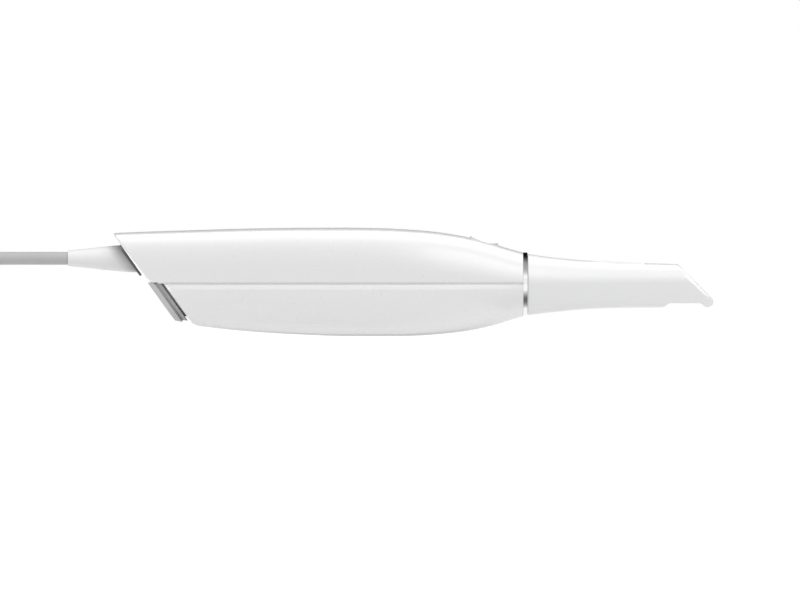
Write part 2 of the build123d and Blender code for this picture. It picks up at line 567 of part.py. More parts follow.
# ---- button ---------------------------------------------------------------------------------------
ring = btn_cyl(BUTTON_RING_R, -7.0, 0.75) - btn_cyl(BUTTON_R + 0.10, -9.0, 2.0)
ring = ring + (btn_cyl(7.1, -5.4, -4.6) - btn_cyl(BUTTON_R + 0.10, -9.0, 2.0))
ring = one(ring)
top_edges = [e for e in ring.edges() if e.geom_type == GeomType.CIRCLE and
             abs((e.center() - Vector(BUTTON_X, 0, BUTTON_Z)).dot(Vector(*BN)) - 0.75) < 1e-3]
ring = fillet(top_edges, 0.35)
make("button_light_ring", ring)

# dished cap: short cylinder with a ball-shaped hollow in its top and a stem below
capb = btn_cyl(BUTTON_R, -2.6, 1.15)
DISH_R = 24.0
dish_c = btn_plane(1.15 - 0.40 + DISH_R).origin
capb = capb - Solid.make_sphere(DISH_R, Plane(origin=dish_c), -90, 90, 360)
capb = capb - btn_cyl(3.9, -3.0, -1.2)
capb = capb + btn_cyl(1.4, -4.4, -0.9)
capb = one(capb)
rim = [e for e in capb.edges() if e.geom_type == GeomType.CIRCLE and abs(e.radius - BUTTON_R) < 1e-3 and
       (e.center() - Vector(BUTTON_X, 0, BUTTON_Z)).dot(Vector(*BN)) > 0.5]
capb = fillet(rim, 0.3)
make("scan_button", capb)

bb_ = btn_cyl(6.2, -8.0, -7.0)
sw = Solid.make_box(4.4, 4.4, 1.5, Plane(origin=btn_plane(-7.1, -2.2, -2.2).origin, x_dir=btn_plane(0).x_dir, z_dir=BN))
make("button_board", one(bb_ + sw + btn_cyl(1.1, -5.7, -5.1)))          # board with its soldered switch

# ---- tip ------------------------------------------------------------------------------------------
tip_outer = loft_rows(TIP)
c45 = math.sqrt(0.5)
with BuildSketch(Plane(origin=(0, 20, 0), x_dir=(1, 0, 0), z_dir=(0, -1, 0))) as sk_t:
    with BuildLine():
        tx, tz = NOSE_X + NOSE_R * c45, NOSE_Z + NOSE_R * c45
        rx = NOSE_X - math.sqrt(NOSE_R ** 2 - (NOSE_Z - RECESS_Z) ** 2)
        Polyline((55.0, 50.0), (SLANT_SUM - 50.0, 50.0), (tx, tz))
        ThreePointArc((tx, tz), (NOSE_X + NOSE_R * math.cos(math.radians(-60)), NOSE_Z + NOSE_R * math.sin(math.radians(-60))),
                      (rx, RECESS_Z))
        Polyline((rx, RECESS_Z), (RECESS_X1, RECESS_Z), (RECESS_X0, 9.9), (RECESS_X0, 0.0), (55.0, 0.0), (55.0, 50.0))
    make_face()
side = Solid.extrude(sk_t.sketch.faces()[0], Vector(0, -40, 0))


def slant_slab(t0, t1):
    """Slab parallel to the tip's slanted end; t runs inwards from its face."""
    a, b = SLANT_SUM - t0 / c45, SLANT_SUM - t1 / c45
    return prism_xz([(a - 60, 60), (a + 10, -10), (b + 10, -10), (b - 60, 60)], 30)


tip_body = tip_outer & side
pad = prism_xz([(83.0, 31.4), (92.0, 31.93), (106.2, 31.42), (107.6, 30.94), (107.6, 29.5), (83.0, 29.5)], 3.6)
cavity = loft_rows(TIP, TIP_WALL)
lim = prism_xz([(93.0, 50), (152.49, 50), (152.49, 15.1), (112.0, 15.1), (108.5, 13.0), (108.5, 0), (93.0, 0)], 30)
cavity = cavity & lim
cavity = cavity & slant_slab(1.25, 80)
sleeve = (tip_body + pad) & slant_slab(COVER_T, 120)
sleeve = sleeve - cyl("X", SLEEVE_BORE, 50, 93.2, 0, AXIS_Z)
sleeve = sleeve - cavity
window_cut = box(WINDOW_X0, WINDOW_X1, -WINDOW_HALF_Y, WINDOW_HALF_Y, 12.0, 16.0)
sleeve = sleeve - window_cut
CONTACT_X = SLEEVE_X0
for py in PIN_Y:
    sleeve = sleeve - box(CONTACT_X - 0.1, CONTACT_X + 0.6, py - 0.85, py + 0.85, PIN_Z - 0.85, PIN_Z + 0.85)
make("tip_sleeve", one(sleeve))

pads = None
for py in PIN_Y:
    p = box(CONTACT_X + 0.1, CONTACT_X + 0.6, py - 0.85, py + 0.85, PIN_Z - 0.85, PIN_Z + 0.85)
    pads = p if pads is None else pads + p
make("tip_contacts", pads, group=True)

cover = (tip_body & slant_slab(-1.0, COVER_T)) - cavity - window_cut
make("tip_end_cover", one(cover))
mir = (loft_rows(TIP, TIP_WALL + 0.08) & slant_slab(1.30, 1.30 + MIRROR_T)) & box(100, 140, -20, 20, 15.3, 40)
make("tip_mirror", one(mir))

# ---- free cable, hank and plug ----------------------------------------------------------------------
LEAD = [(X_REAR, 0.0, CABLE_Z), (-176.0, 0.0, CABLE_Z), (-214.5, -1.5, 21.3), (-241.5, -5.5, 4.4), (-265.5, -13.5, 2.75),
        (-288.0, -20.6, 2.75)]


def corner_radii(pts, k=0.45):
    out = []
    for i in range(1, len(pts) - 1):
        a, b, c = Vector(*pts[i - 1]), Vector(*pts[i]), Vector(*pts[i + 1])
        turn = math.radians((b - a).get_angle(c - b))
        run = min((b - a).length, (c - b).length)
        out.append(k * run / math.tan(turn / 2))
    return out


def cord(node, pts):
    radii = corner_radii(pts)
    path = FilletPolyline(*[Vector(*p) for p in pts], radius=radii)
    start = Plane(origin=pts[0], z_dir=Vector(*pts[1]) - Vector(*pts[0]))
    profile = Face(Wire(Edge.make_circle(CABLE_R, start)))
    solid = Solid.sweep(profile, Wire(path.edges()))
    length = sum(e.length for e in path.edges())
    print(node, "length %.1f radii" % length, [round(r, 1) for r in radii],
          "turns", [round((Vector(*pts[i]) - Vector(*pts[i - 1])).get_angle(Vector(*pts[i + 1]) - Vector(*pts[i])), 1)
                    for i in range(1, len(pts) - 1)],
          "volume ratio %.4f" % (solid.volume / (math.pi * CABLE_R ** 2 * length)))
    return solid


HANK_NEAR, HANK_FAR = -301.3, -384.9      # centres of the hank's two folds
HANK_R = 25.3
HANK_H = 16.6
TIE_X, TIE_HALF, TIE_W = -348.0, 5.0, 13.5
LANE_R, LANE_W = 22.55, 10.2              # outer lane of the cable: at the folds and at the waist


def lane_edge(x):
    """Half width of the hank at x, outside the outer lane."""
    f, run = ((HANK_NEAR - x) / (HANK_NEAR - TIE_X), HANK_NEAR - TIE_X) if x > TIE_X else ((x - HANK_FAR) / (TIE_X - HANK_FAR), TIE_X - HANK_FAR)
    y = LANE_R - (LANE_R - LANE_W) * (0.5 - 0.5 * math.cos(math.pi * f))
    slope = (LANE_R - LANE_W) * 0.5 * math.sin(math.pi * f) * math.pi / run
    return y + 2.75 * math.hypot(1.0, slope)


def hank_outline():
    r = HANK_R
    n = 14
    side = [(HANK_NEAR + (TIE_X - HANK_NEAR) * f, None) for f in (0.2, 0.4, 0.6, 0.76)]
    side += [(TIE_X + 5.4, 13.3), (TIE_X - 5.4, 13.3)]
    side += [(HANK_FAR + (TIE_X - HANK_FAR) * f, None) for f in (0.7, 0.5, 0.3, 0.15)]
    side = [(x, lane_edge(x) if w is None else w) for x, w in side]
    pts = []
    # near round end, waist, far round end, and back
    for i in range(n + 1):
        a = -math.pi / 2 + math.pi * i / n
        pts.append((HANK_NEAR + r * math.cos(a), r * math.sin(a)))
    pts += side
    for i in range(n + 1):
        a = math.pi / 2 + math.pi * i / n
        pts.append((HANK_FAR + r * math.cos(a), r * math.sin(a)))
    pts += [(x, -w) for x, w in reversed(side)]
    return pts


hp = hank_outline()
hank = Solid.extrude(Face(Wire.make_polygon([Vector(p[0], p[1], 0.0) for p in hp], close=True)), Vector(0, 0, HANK_H))
for sgn, ex in ((1, HANK_NEAR), (-1, HANK_FAR)):
    eye = [(ex + sgn * 13.8 * math.cos(a), 13.8 * math.sin(a)) for a in [math.radians(-90 + 15 * i) for i in range(13)]]
    eye.append((ex - sgn * 22.0, 0.6))
    eye.append((ex - sgn * 22.0, -0.6))
    hank = hank - Solid.extrude(Face(Wire.make_polygon([Vector(p[0], p[1], -1.0) for p in eye], close=True)), Vector(0, 0, 40))
lead = cord("cable", LEAD)
make("cable", lead)
lead_end = Plane(origin=LEAD[-1], z_dir=Vector(*LEAD[-1]) - Vector(*LEAD[-2]))
hank = hank - Solid.extrude(Face(Wire(Edge.make_circle(CABLE_R, lead_end))), (Vector(*LEAD[-2]) - Vector(*LEAD[-1])).normalized() * 12)
hank = hank - box(TIE_X - TIE_HALF - 0.1, TIE_X + TIE_HALF + 0.1, -20, 20, -1.0, 1.0)
hank = one(hank)
make("cable_hank", hank)

PLUG_Z = HANK_H + 4.3
PX = -334.5
# the last fold lies on top of the hank and bends back into the plug
FOLD_R, BACK_R = 16.93, 22.0
fold_turn = math.pi + math.acos(BACK_R / (FOLD_R + BACK_R))
back_x = HANK_NEAR - (FOLD_R + BACK_R) * math.sin(fold_turn - math.pi)
TAIL = [(-318.0, 14.2, 18.1), (-308.0, 16.5, 19.2)]
for k in range(7):
    a = fold_turn * (k + 0.5) / 7
    rr = FOLD_R / math.cos(fold_turn / 14)
    TAIL.append((HANK_NEAR + rr * math.sin(a), rr * math.cos(a), 19.55 + 0.17 * k))
half = (fold_turn - math.pi) / 4
for k in (3, 1):
    rr = BACK_R / math.cos(half)
    TAIL.append((back_x + rr * math.sin(half * k), -BACK_R + rr * math.cos(half * k), PLUG_Z - 0.12 * (k > 1)))
TAIL.append((PX, 0.0, PLUG_Z))
tail = cord("cable_tail", TAIL)
make("cable_tail", one(tail - hank))
plug = revolve_x([(PX, 0.0), (PX, CABLE_R + 0.7), (PX - 8.0, 4.1), (PX - 10.0, 4.1), (PX - 10.0, 0.0)], (0.0, PLUG_Z))
grip = box(PX - 36.0, PX - 8.0, -8.0, 8.0, PLUG_Z - 4.25, PLUG_Z + 4.25)
grip = fillet(grip.edges().filter_by(Axis.X), 2.0)
plug = one(plug + grip)
make("plug_body", plug)
shell = box(PX - 54.5, PX - 36.0, -6.0, 6.0, PLUG_Z - 2.25, PLUG_Z + 2.25)
shell = shell - box(PX - 56.0, PX - 36.4, -5.7, 5.7, PLUG_Z - 1.95, PLUG_Z + 1.95)
make("plug_shell", one(shell))
make("plug_tongue", box(PX - 54.0, PX - 36.4, -5.7, 5.7, PLUG_Z - 1.95, PLUG_Z - 0.1))

# strap round the waist of the hank and the plug's grip
tz1 = PLUG_Z + 4.25
tie_in = [(-TIE_W, 1.0), (TIE_W, 1.0), (TIE_W, HANK_H), (8.3, tz1 + 0.02), (-8.3, tz1 + 0.02), (-TIE_W, HANK_H)]
tie_out = [(-TIE_W - 1.2, 0.0), (TIE_W + 1.2, 0.0), (TIE_W + 1.2, HANK_H + 0.5), (9.0, tz1 + 1.2), (-9.0, tz1 + 1.2),
           (-TIE_W - 1.2, HANK_H + 0.5)]
tie = prism_yz(tie_out, TIE_X - TIE_HALF, TIE_X + TIE_HALF) - prism_yz(tie_in, TIE_X - 8.0, TIE_X + 8.0)
make("hank_tie", one(tie))
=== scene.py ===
import json
import math

import bmesh
import bpy
import numpy as np
from mathutils import Matrix, Vector

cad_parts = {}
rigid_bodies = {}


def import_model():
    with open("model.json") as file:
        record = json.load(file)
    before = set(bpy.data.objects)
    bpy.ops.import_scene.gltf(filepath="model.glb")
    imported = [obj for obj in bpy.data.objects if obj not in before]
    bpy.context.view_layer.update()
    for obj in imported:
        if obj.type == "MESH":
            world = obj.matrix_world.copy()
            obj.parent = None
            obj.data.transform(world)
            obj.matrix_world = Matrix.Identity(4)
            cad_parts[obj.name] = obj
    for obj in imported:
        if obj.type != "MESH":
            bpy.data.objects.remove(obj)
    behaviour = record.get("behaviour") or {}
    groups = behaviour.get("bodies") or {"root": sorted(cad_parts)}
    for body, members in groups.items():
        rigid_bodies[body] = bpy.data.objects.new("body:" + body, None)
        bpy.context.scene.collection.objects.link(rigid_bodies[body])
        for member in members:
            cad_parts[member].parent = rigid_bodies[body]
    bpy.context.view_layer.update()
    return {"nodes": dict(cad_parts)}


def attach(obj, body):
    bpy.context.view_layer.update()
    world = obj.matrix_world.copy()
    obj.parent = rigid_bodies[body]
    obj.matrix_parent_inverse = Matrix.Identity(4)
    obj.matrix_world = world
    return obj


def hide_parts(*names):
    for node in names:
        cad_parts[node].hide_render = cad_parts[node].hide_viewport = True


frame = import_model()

MM = 0.001
PI = math.pi
scene = bpy.context.scene
NODES = frame["nodes"]

# ============================================================================
# camera: level side view, long lens, 800 x 600 frame
# ============================================================================
PX = 0.4248                      # millimetres per pixel in the plane of the wand
LENS, SENSOR = 700.0, 36.0
CAM_EL = math.radians(0.0)
cam_dist = 800 * PX * LENS / SENSOR
target = Vector((4.04, 0.0, 15.3))
cam_data = bpy.data.cameras.new("camera")
cam_data.lens, cam_data.sensor_width, cam_data.sensor_fit = LENS, SENSOR, "HORIZONTAL"
cam_data.clip_start, cam_data.clip_end = 0.05, 60.0
cam_data.dof.use_dof = False
cam = bpy.data.objects.new("camera", cam_data)
scene.collection.objects.link(cam)
cam_back = Vector((0.0, -math.cos(CAM_EL), math.sin(CAM_EL)))
cam.location = (target + cam_back * cam_dist) * MM
cam.rotation_mode = "QUATERNION"
cam.rotation_quaternion = (-cam_back).to_track_quat("-Z", "Y")
scene.camera = cam

scene.view_settings.view_transform = "Standard"
scene.view_settings.look = "None"
scene.view_settings.exposure = 0.0
scene.view_settings.gamma = 1.0


# ============================================================================
# materials
# ============================================================================
def lin(v):
    """sRGB 0-255 to linear."""
    c = v / 255.0
    return c / 12.92 if c <= 0.04045 else ((c + 0.055) / 1.055) ** 2.4


def grey(v, tint=(1.0, 1.0, 1.0)):
    g = lin(v)
    return (g * tint[0], g * tint[1], g * tint[2], 1.0)


def material(name, color, rough=0.4, metallic=0.0, mottled=0.0, mottle_scale=60.0, rough_var=0.0, rough_scale=400.0,
             bump=0.0, bump_scale=2500.0, bump_kind="noise", bump_dist=0.00002, **sockets):
    """A Principled material whose colour, gloss and surface vary procedurally."""
    m = bpy.data.materials.new(name)
    m.use_nodes = True
    nt = m.node_tree
    b = nt.nodes["Principled BSDF"]
    b.inputs["Base Color"].default_value = color
    b.inputs["Roughness"].default_value = rough
    b.inputs["Metallic"].default_value = metallic
    for k, v in sockets.items():
        b.inputs[k.replace("_", " ")].default_value = v
    tc = nt.nodes.new("ShaderNodeTexCoord")
    if mottled:
        nz = nt.nodes.new("ShaderNodeTexNoise")
        nz.inputs["Scale"].default_value = mottle_scale
        nz.inputs["Detail"].default_value = 4.0
        ramp = nt.nodes.new("ShaderNodeValToRGB")
        lo = tuple(c * (1.0 - mottled) for c in color[:3]) + (1.0,)
        hi = tuple(min(1.0, c * (1.0 + mottled)) for c in color[:3]) + (1.0,)
        ramp.color_ramp.elements[0].position, ramp.color_ramp.elements[0].color = 0.3, lo
        ramp.color_ramp.elements[1].position, ramp.color_ramp.elements[1].color = 0.7, hi
        nt.links.new(tc.outputs["Object"], nz.inputs["Vector"])
        nt.links.new(nz.outputs["Fac"], ramp.inputs["Fac"])
        nt.links.new(ramp.outputs["Color"], b.inputs["Base Color"])
    if rough_var:
        nr = nt.nodes.new("ShaderNodeTexNoise")
        nr.inputs["Scale"].default_value = rough_scale
        nr.inputs["Detail"].default_value = 3.0
        mr = nt.nodes.new("ShaderNodeMapRange")
        mr.inputs["From Min"].default_value, mr.inputs["From Max"].default_value = 0.3, 0.7
        mr.inputs["To Min"].default_value = max(0.02, rough - rough_var)
        mr.inputs["To Max"].default_value = min(1.0, rough + rough_var)
        nt.links.new(tc.outputs["Object"], nr.inputs["Vector"])
        nt.links.new(nr.outputs["Fac"], mr.inputs["Value"])
        nt.links.new(mr.outputs["Result"], b.inputs["Roughness"])
    if bump:
        if bump_kind == "noise":
            t = nt.nodes.new("ShaderNodeTexNoise")
            t.inputs["Scale"].default_value = bump_scale
            t.inputs["Detail"].default_value = 2.0
            out = t.outputs["Fac"]
        elif bump_kind == "voronoi":
            t = nt.nodes.new("ShaderNodeTexVoronoi")
            t.inputs["Scale"].default_value = bump_scale
            out = t.outputs["Distance"]
        else:                                     # "x", "y" or "z": machining or weave lines
            t = nt.nodes.new("ShaderNodeTexWave")
            t.wave_type, t.bands_direction = "BANDS", bump_kind.upper()
            t.inputs["Scale"].default_value = bump_scale
            t.inputs["Distortion"].default_value = 0.4
            t.inputs["Detail"].default_value = 1.0
            out = t.outputs["Fac"]
        nt.links.new(tc.outputs["Object"], t.inputs["Vector"])
        bp = nt.nodes.new("ShaderNodeBump")
        bp.inputs["Strength"].default_value = bump
        bp.inputs["Distance"].default_value = bump_dist
        nt.links.new(out, bp.inputs["Height"])
        nt.links.new(bp.outputs["Normal"], b.inputs["Normal"])
    return m


def fade(m, plane, stops):
    """Tint a material's colour by the distance (mm) from a plane: plane = (nx, nz, d)."""
    nt = m.node_tree
    b = nt.nodes["Principled BSDF"]
    tc = nt.nodes.new("ShaderNodeTexCoord")
    dot = nt.nodes.new("ShaderNodeVectorMath")
    dot.operation = "DOT_PRODUCT"
    dot.inputs[1].default_value = (plane[0], 0.0, plane[1])
    mr = nt.nodes.new("ShaderNodeMapRange")
    mr.inputs["From Min"].default_value = (stops[0][0] + plane[2]) * MM
    mr.inputs["From Max"].default_value = (stops[-1][0] + plane[2]) * MM
    ramp = nt.nodes.new("ShaderNodeValToRGB")
    el = ramp.color_ramp.elements
    while len(el) < len(stops):
        el.new(0.5)
    for e, (t, v) in zip(el, stops):
        e.position = (t - stops[0][0]) / (stops[-1][0] - stops[0][0])
        e.color = (v, v, v, 1.0)
    mix = nt.nodes.new("ShaderNodeMix")
    mix.data_type, mix.blend_type = "RGBA", "MULTIPLY"
    mix.inputs["Factor"].default_value = 1.0
    nt.links.new(tc.outputs["Object"], dot.inputs[0])
    nt.links.new(dot.outputs["Value"], mr.inputs["Value"])
    nt.links.new(mr.outputs["Result"], ramp.inputs["Fac"])
    src = b.inputs["Base Color"].links[0].from_socket
    nt.links.new(src, mix.inputs["A"])
    nt.links.new(ramp.outputs["Color"], mix.inputs["B"])
    nt.links.new(mix.outputs["Result"], b.inputs["Base Color"])


WHITE = (0.655, 0.655, 0.659, 1.0)
M = {}
M["shell"] = material("shell_white", WHITE, rough=0.28, mottled=0.0015, mottle_scale=1500, rough_var=0.008, rough_scale=900,
                      bump=0.03, bump_scale=5200, bump_dist=0.000004, Coat_Weight=0.25, Coat_Roughness=0.12, IOR=1.5)
M["tip"] = material("tip_white", (0.655, 0.656, 0.657, 1.0), rough=0.33, mottled=0.0015, mottle_scale=1500, rough_var=0.010,
                    rough_scale=900, bump=0.03, bump_scale=6200, bump_dist=0.000004, Coat_Weight=0.15, Coat_Roughness=0.18, IOR=1.5)
M["boot"] = material("boot_white", (0.618, 0.620, 0.618, 1.0), rough=0.36, mottled=0.006, mottle_scale=160, rough_var=0.02,
                     bump=0.08, bump_scale=4200, bump_dist=0.000008, Coat_Weight=0.4, Coat_Roughness=0.2, IOR=1.5)
M["gasket"] = material("gasket_grey", grey(222), rough=0.6, mottled=0.03, rough_var=0.05, bump=0.1, bump_scale=3000)
M["chrome"] = material("band_chrome", (0.86, 0.86, 0.87, 1.0), rough=0.07, metallic=1.0, rough_var=0.02, rough_scale=900,
                       bump=0.04, bump_scale=5200, bump_kind="x", bump_dist=0.000004)
M["cap"] = material("cap_grey", grey(176, (1.0, 1.01, 1.0)), rough=0.42, mottled=0.02, mottle_scale=120, rough_var=0.04,
                    bump=0.12, bump_scale=3800, bump_dist=0.00001)
M["vent"] = material("vent_grey", grey(150), rough=0.48, mottled=0.02, mottle_scale=120, rough_var=0.04, bump=0.12,
                     bump_scale=3800, bump_dist=0.00001)
M["collar"] = material("collar_dark", grey(88), rough=0.5, mottled=0.04, rough_var=0.05, bump=0.15, bump_scale=3500)
M["cable"] = material("cable_grey", grey(160, (1.0, 1.0, 0.995)), rough=0.45, mottled=0.012, mottle_scale=90, rough_var=0.05,
                      bump=0.12, bump_scale=2600, bump_dist=0.00001)
M["ring"] = material("light_ring", grey(190, (0.955, 1.0, 0.98)), rough=0.34, mottled=0.01, rough_var=0.03, bump=0.04,
                     bump_scale=4200, bump_dist=0.000006, Coat_Weight=0.15, Coat_Roughness=0.15, IOR=1.5)
M["button"] = material("button_white", (0.665, 0.668, 0.667, 1.0), rough=0.35, mottled=0.008, rough_var=0.04, bump=0.08,
                       bump_scale=4500, bump_dist=0.000008)
M["mirror"] = material("mirror_glass", (0.93, 0.94, 0.94, 1.0), rough=0.02, metallic=1.0, rough_var=0.01)
M["glass"] = material("clear_glass", (0.97, 0.985, 0.98, 1.0), rough=0.02, rough_var=0.01, Transmission_Weight=1.0, IOR=1.52,
                      Coat_Weight=0.4, Coat_Roughness=0.02)
M["pattern"] = material("pattern_glass", (0.55, 0.62, 0.70, 1.0), rough=0.06, rough_var=0.02, Transmission_Weight=0.8, IOR=1.5)
M["tube"] = material("tube_black", grey(34), rough=0.38, metallic=0.6, mottled=0.05, rough_var=0.05, bump=0.08,
                     bump_scale=3500, bump_kind="x", bump_dist=0.000008)
M["rubber"] = material("seal_rubber", grey(30), rough=0.65, mottled=0.06, rough_var=0.06, bump=0.2, bump_scale=3000)
M["gold"] = material("contact_gold", (0.83, 0.61, 0.25, 1.0), rough=0.22, metallic=1.0, rough_var=0.04, mottled=0.02)
M["aluminium"] = material("bench_aluminium", (0.62, 0.63, 0.64, 1.0), rough=0.36, metallic=1.0, mottled=0.03, rough_var=0.06,
                          bump=0.12, bump_scale=1800, bump_kind="y", bump_dist=0.00001)
M["steel"] = material("screw_steel", (0.62, 0.62, 0.63, 1.0), rough=0.25, metallic=1.0, rough_var=0.05, mottled=0.02,
                      bump=0.08, bump_scale=3500, bump_dist=0.000006)
M["plug_metal"] = material("plug_nickel", (0.60, 0.60, 0.60, 1.0), rough=0.34, metallic=1.0, rough_var=0.03, rough_scale=500,
                           bump=0.02, bump_scale=900, bump_kind="x", bump_dist=0.000003)
M["magnet"] = material("magnet_nickel", (0.66, 0.65, 0.62, 1.0), rough=0.2, metallic=1.0, rough_var=0.04)
M["black"] = material("carriage_black", grey(42), rough=0.5, mottled=0.05, rough_var=0.05, bump=0.12, bump_scale=3200)
M["copper"] = material("coil_copper", (0.72, 0.36, 0.20, 1.0), rough=0.34, metallic=1.0, rough_var=0.05, bump=0.5,
                       bump_scale=2600, bump_kind="x", bump_dist=0.00005)
M["brass"] = material("weight_brass", (0.72, 0.55, 0.28, 1.0), rough=0.3, metallic=1.0, rough_var=0.05, mottled=0.03)
M["board"] = material("board_green", (0.030, 0.150, 0.060, 1.0), rough=0.35, mottled=0.2, mottle_scale=700, rough_var=0.06,
                      bump=0.2, bump_scale=1500, bump_kind="voronoi", bump_dist=0.00003)
M["board_white"] = material("board_white", grey(225), rough=0.4, mottled=0.02, rough_var=0.04)
M["sensor"] = material("sensor_dark", (0.03, 0.035, 0.05, 1.0), rough=0.12, rough_var=0.03, Coat_Weight=0.8)
M["chip"] = material("chip_black", grey(38), rough=0.45, mottled=0.05, rough_var=0.05, bump=0.1)
M["connector"] = material("connector_white", grey(214, (1.0, 0.985, 0.94)), rough=0.4, mottled=0.02, rough_var=0.05)
M["fan"] = material("fan_black", grey(36), rough=0.42, mottled=0.05, rough_var=0.05, bump=0.08)
M["plug"] = material("plug_black", grey(46), rough=0.46, mottled=0.04, rough_var=0.05, bump=0.15, bump_scale=3000)
M["insert"] = material("plug_insert", (0.02, 0.13, 0.42, 1.0), rough=0.35, mottled=0.05, rough_var=0.05)
M["strap"] = material("tie_fabric", grey(66), rough=0.85, mottled=0.12, mottle_scale=900, bump=0.9, bump_scale=900,
                      bump_kind="y", bump_dist=0.00022, Sheen_Weight=0.35, Sheen_Roughness=0.5)

FINISH = {
    "seam_gasket": "gasket", "metal_band": "chrome", "heater_pins": "gold", "tip_contacts": "gold", "front_tube": "tube",
    "window_retainer": "tube", "lens_spacer": "tube", "camera_mount": "tube", "lamp_housing": "tube", "tube_seal": "rubber",
    "front_window": "glass", "front_lens": "glass", "rear_lens": "glass", "focus_lens": "glass", "beam_splitter": "glass",
    "camera_lens": "glass", "condenser_lens": "glass", "pattern_disc": "pattern", "optical_bench": "aluminium",
    "lamp_heat_sink": "aluminium", "bench_screws": "steel", "board_screws": "steel", "cap_screws": "steel",
    "plug_shell": "plug_metal", "focus_rails": "steel", "magnet_bar": "magnet", "focus_carriage": "black", "cable_clamp": "black",
    "focus_coil": "copper", "counterweight": "brass", "board_standoffs": "brass", "camera_board": "board",
    "main_board": "board", "power_board": "board", "button_board": "board", "lamp_board": "board_white",
    "image_sensor": "sensor", "processor": "chip", "processor_heat_sink": "chip", "cable_connector": "connector",
    "fan_frame": "fan", "fan_rotor": "fan", "rear_cap": "cap", "vent_frame": "vent", "cable_collar": "collar",
    "cable_boot": "boot", "inner_cable": "cable", "cable": "cable", "cable_hank": "cable", "cable_tail": "cable",
    "button_light_ring": "ring", "scan_button": "button", "tip_sleeve": "tip", "tip_end_cover": "tip",
    "tip_mirror": "mirror", "plug_body": "plug", "plug_tongue": "insert", "hank_tie": "strap", "upper_shell": "shell",
    "lower_shell": "shell",
}
# painted shade on the boot: its colour darkens towards the handle, by distance along the rear plane's normal, standing
# in for the shadow under the shell's rear overhang
REAR_N = (math.sin(math.radians(54.5)), math.cos(math.radians(54.5)))
fade(M["boot"], REAR_N + (-117.67 * REAR_N[0] + 43.33 * REAR_N[1],),
     [(-10.0, 1.0), (-6.0, 0.96), (-3.6, 0.74), (-1.2, 0.46)])
for n, o in NODES.items():
    o.data.materials.clear()
    o.data.materials.append(M[FINISH[n]])

# ============================================================================
# outlines shared with the CAD model, millimetres
# ============================================================================
AXIS_Z, SEAM_Z, SEAM_GAP, WALL = 21.9, 22.4, 0.54, 2.0
X_BAND, BAND_W = 56.3, 2.1
REAR_X, REAR_Z, REAR_ANGLE = -117.67, 43.33, 54.5
CA, SA = math.cos(math.radians(REAR_ANGLE)), math.sin(math.radians(REAR_ANGLE))
REAR_X0 = REAR_X + (REAR_Z - SEAM_Z) * CA / SA
SLANT_SUM, COVER_T = 152.49, 2.2
NOSE_X, NOSE_Z, NOSE_R, RECESS_Z = 134.6, 14.5, 2.4, 13.9

BODY = np.array([
    (-124.0, 43.45, 13.20, 16.30, 3.00, 2.50), (-110.0, 44.08, 9.80, 17.90, 3.00, 2.50),
    (-96.0, 44.58, 6.90, 19.10, 3.00, 2.50), (-82.4, 45.02, 4.45, 20.00, 3.00, 2.50),
    (-68.8, 45.44, 2.78, 20.60, 3.00, 2.50), (-55.2, 45.74, 1.60, 20.92, 3.00, 2.50),
    (-41.6, 45.94, 0.78, 21.00, 3.00, 2.50), (-28.0, 46.00, 0.20, 20.98, 2.98, 2.50),
    (-14.4, 45.97, -0.16, 20.75, 2.93, 2.48), (-0.8, 45.66, -0.20, 20.25, 2.84, 2.45),
    (10.0, 45.06, 0.10, 19.55, 2.74, 2.41), (19.5, 44.18, 0.68, 18.65, 2.62, 2.36),
    (26.3, 43.20, 1.36, 17.80, 2.52, 2.30), (33.1, 41.92, 2.30, 16.80, 2.41, 2.24),
    (39.9, 40.25, 3.66, 15.72, 2.30, 2.17), (46.7, 38.22, 5.38, 14.65, 2.18, 2.10),
    (52.0, 36.60, 7.10, 13.95, 2.07, 2.04), (56.3, 35.50, 8.30, 13.60, 2.00, 2.00)])
TIP = np.array([
    (58.62, 34.92, 8.88, 13.02, 2.00, 2.00), (63.7, 34.07, 9.52, 12.25, 2.00, 2.02),
    (68.5, 33.45, 10.05, 11.70, 2.00, 2.06), (73.9, 32.87, 10.62, 11.20, 2.00, 2.14),
    (80.7, 32.24, 11.20, 10.72, 2.00, 2.28), (87.5, 31.78, 11.62, 10.36, 2.02, 2.45),
    (94.3, 31.45, 11.86, 10.08, 2.05, 2.65), (101.1, 31.17, 11.98, 9.84, 2.10, 2.85),
    (107.9, 30.95, 12.05, 9.64, 2.15, 3.05), (114.7, 30.76, 12.08, 9.46, 2.20, 3.20),
    (124.0, 30.52, 12.08, 9.22, 2.25, 3.30), (138.5, 30.15, 12.00, 8.85, 2.30, 3.40)])


def cubic(xs, ys):
    """Natural cubic spline through a table."""
    n = len(xs)
    h = np.diff(xs)
    a, b = np.zeros((n, n)), np.zeros(n)
    a[0, 0] = a[-1, -1] = 1
    for i in range(1, n - 1):
        a[i, i - 1:i + 2] = h[i - 1], 2 * (h[i - 1] + h[i]), h[i]
        b[i] = 6 * ((ys[i + 1] - ys[i]) / h[i] - (ys[i] - ys[i - 1]) / h[i - 1])
    m = np.linalg.solve(a, b)

    def f(x):
        x = np.asarray(x, float)
        i = np.clip(np.searchsorted(xs, x) - 1, 0, n - 2)
        w, t0, t1 = h[i], xs[i + 1] - x, x - xs[i]
        return (m[i] * t0 ** 3 + m[i + 1] * t1 ** 3) / (6 * w) + (ys[i] / w - m[i] * w / 6) * t0 + (ys[i + 1] / w - m[i + 1] * w / 6) * t1
    return f


BODY_F = [cubic(BODY[:, 0], BODY[:, k]) for k in range(1, 6)]
TIP_F = [cubic(TIP[:, 0], TIP[:, k]) for k in range(1, 6)]


def smax(a, b, k):
    return 0.5 * (a + b + np.sqrt((a - b) ** 2 + k * k))


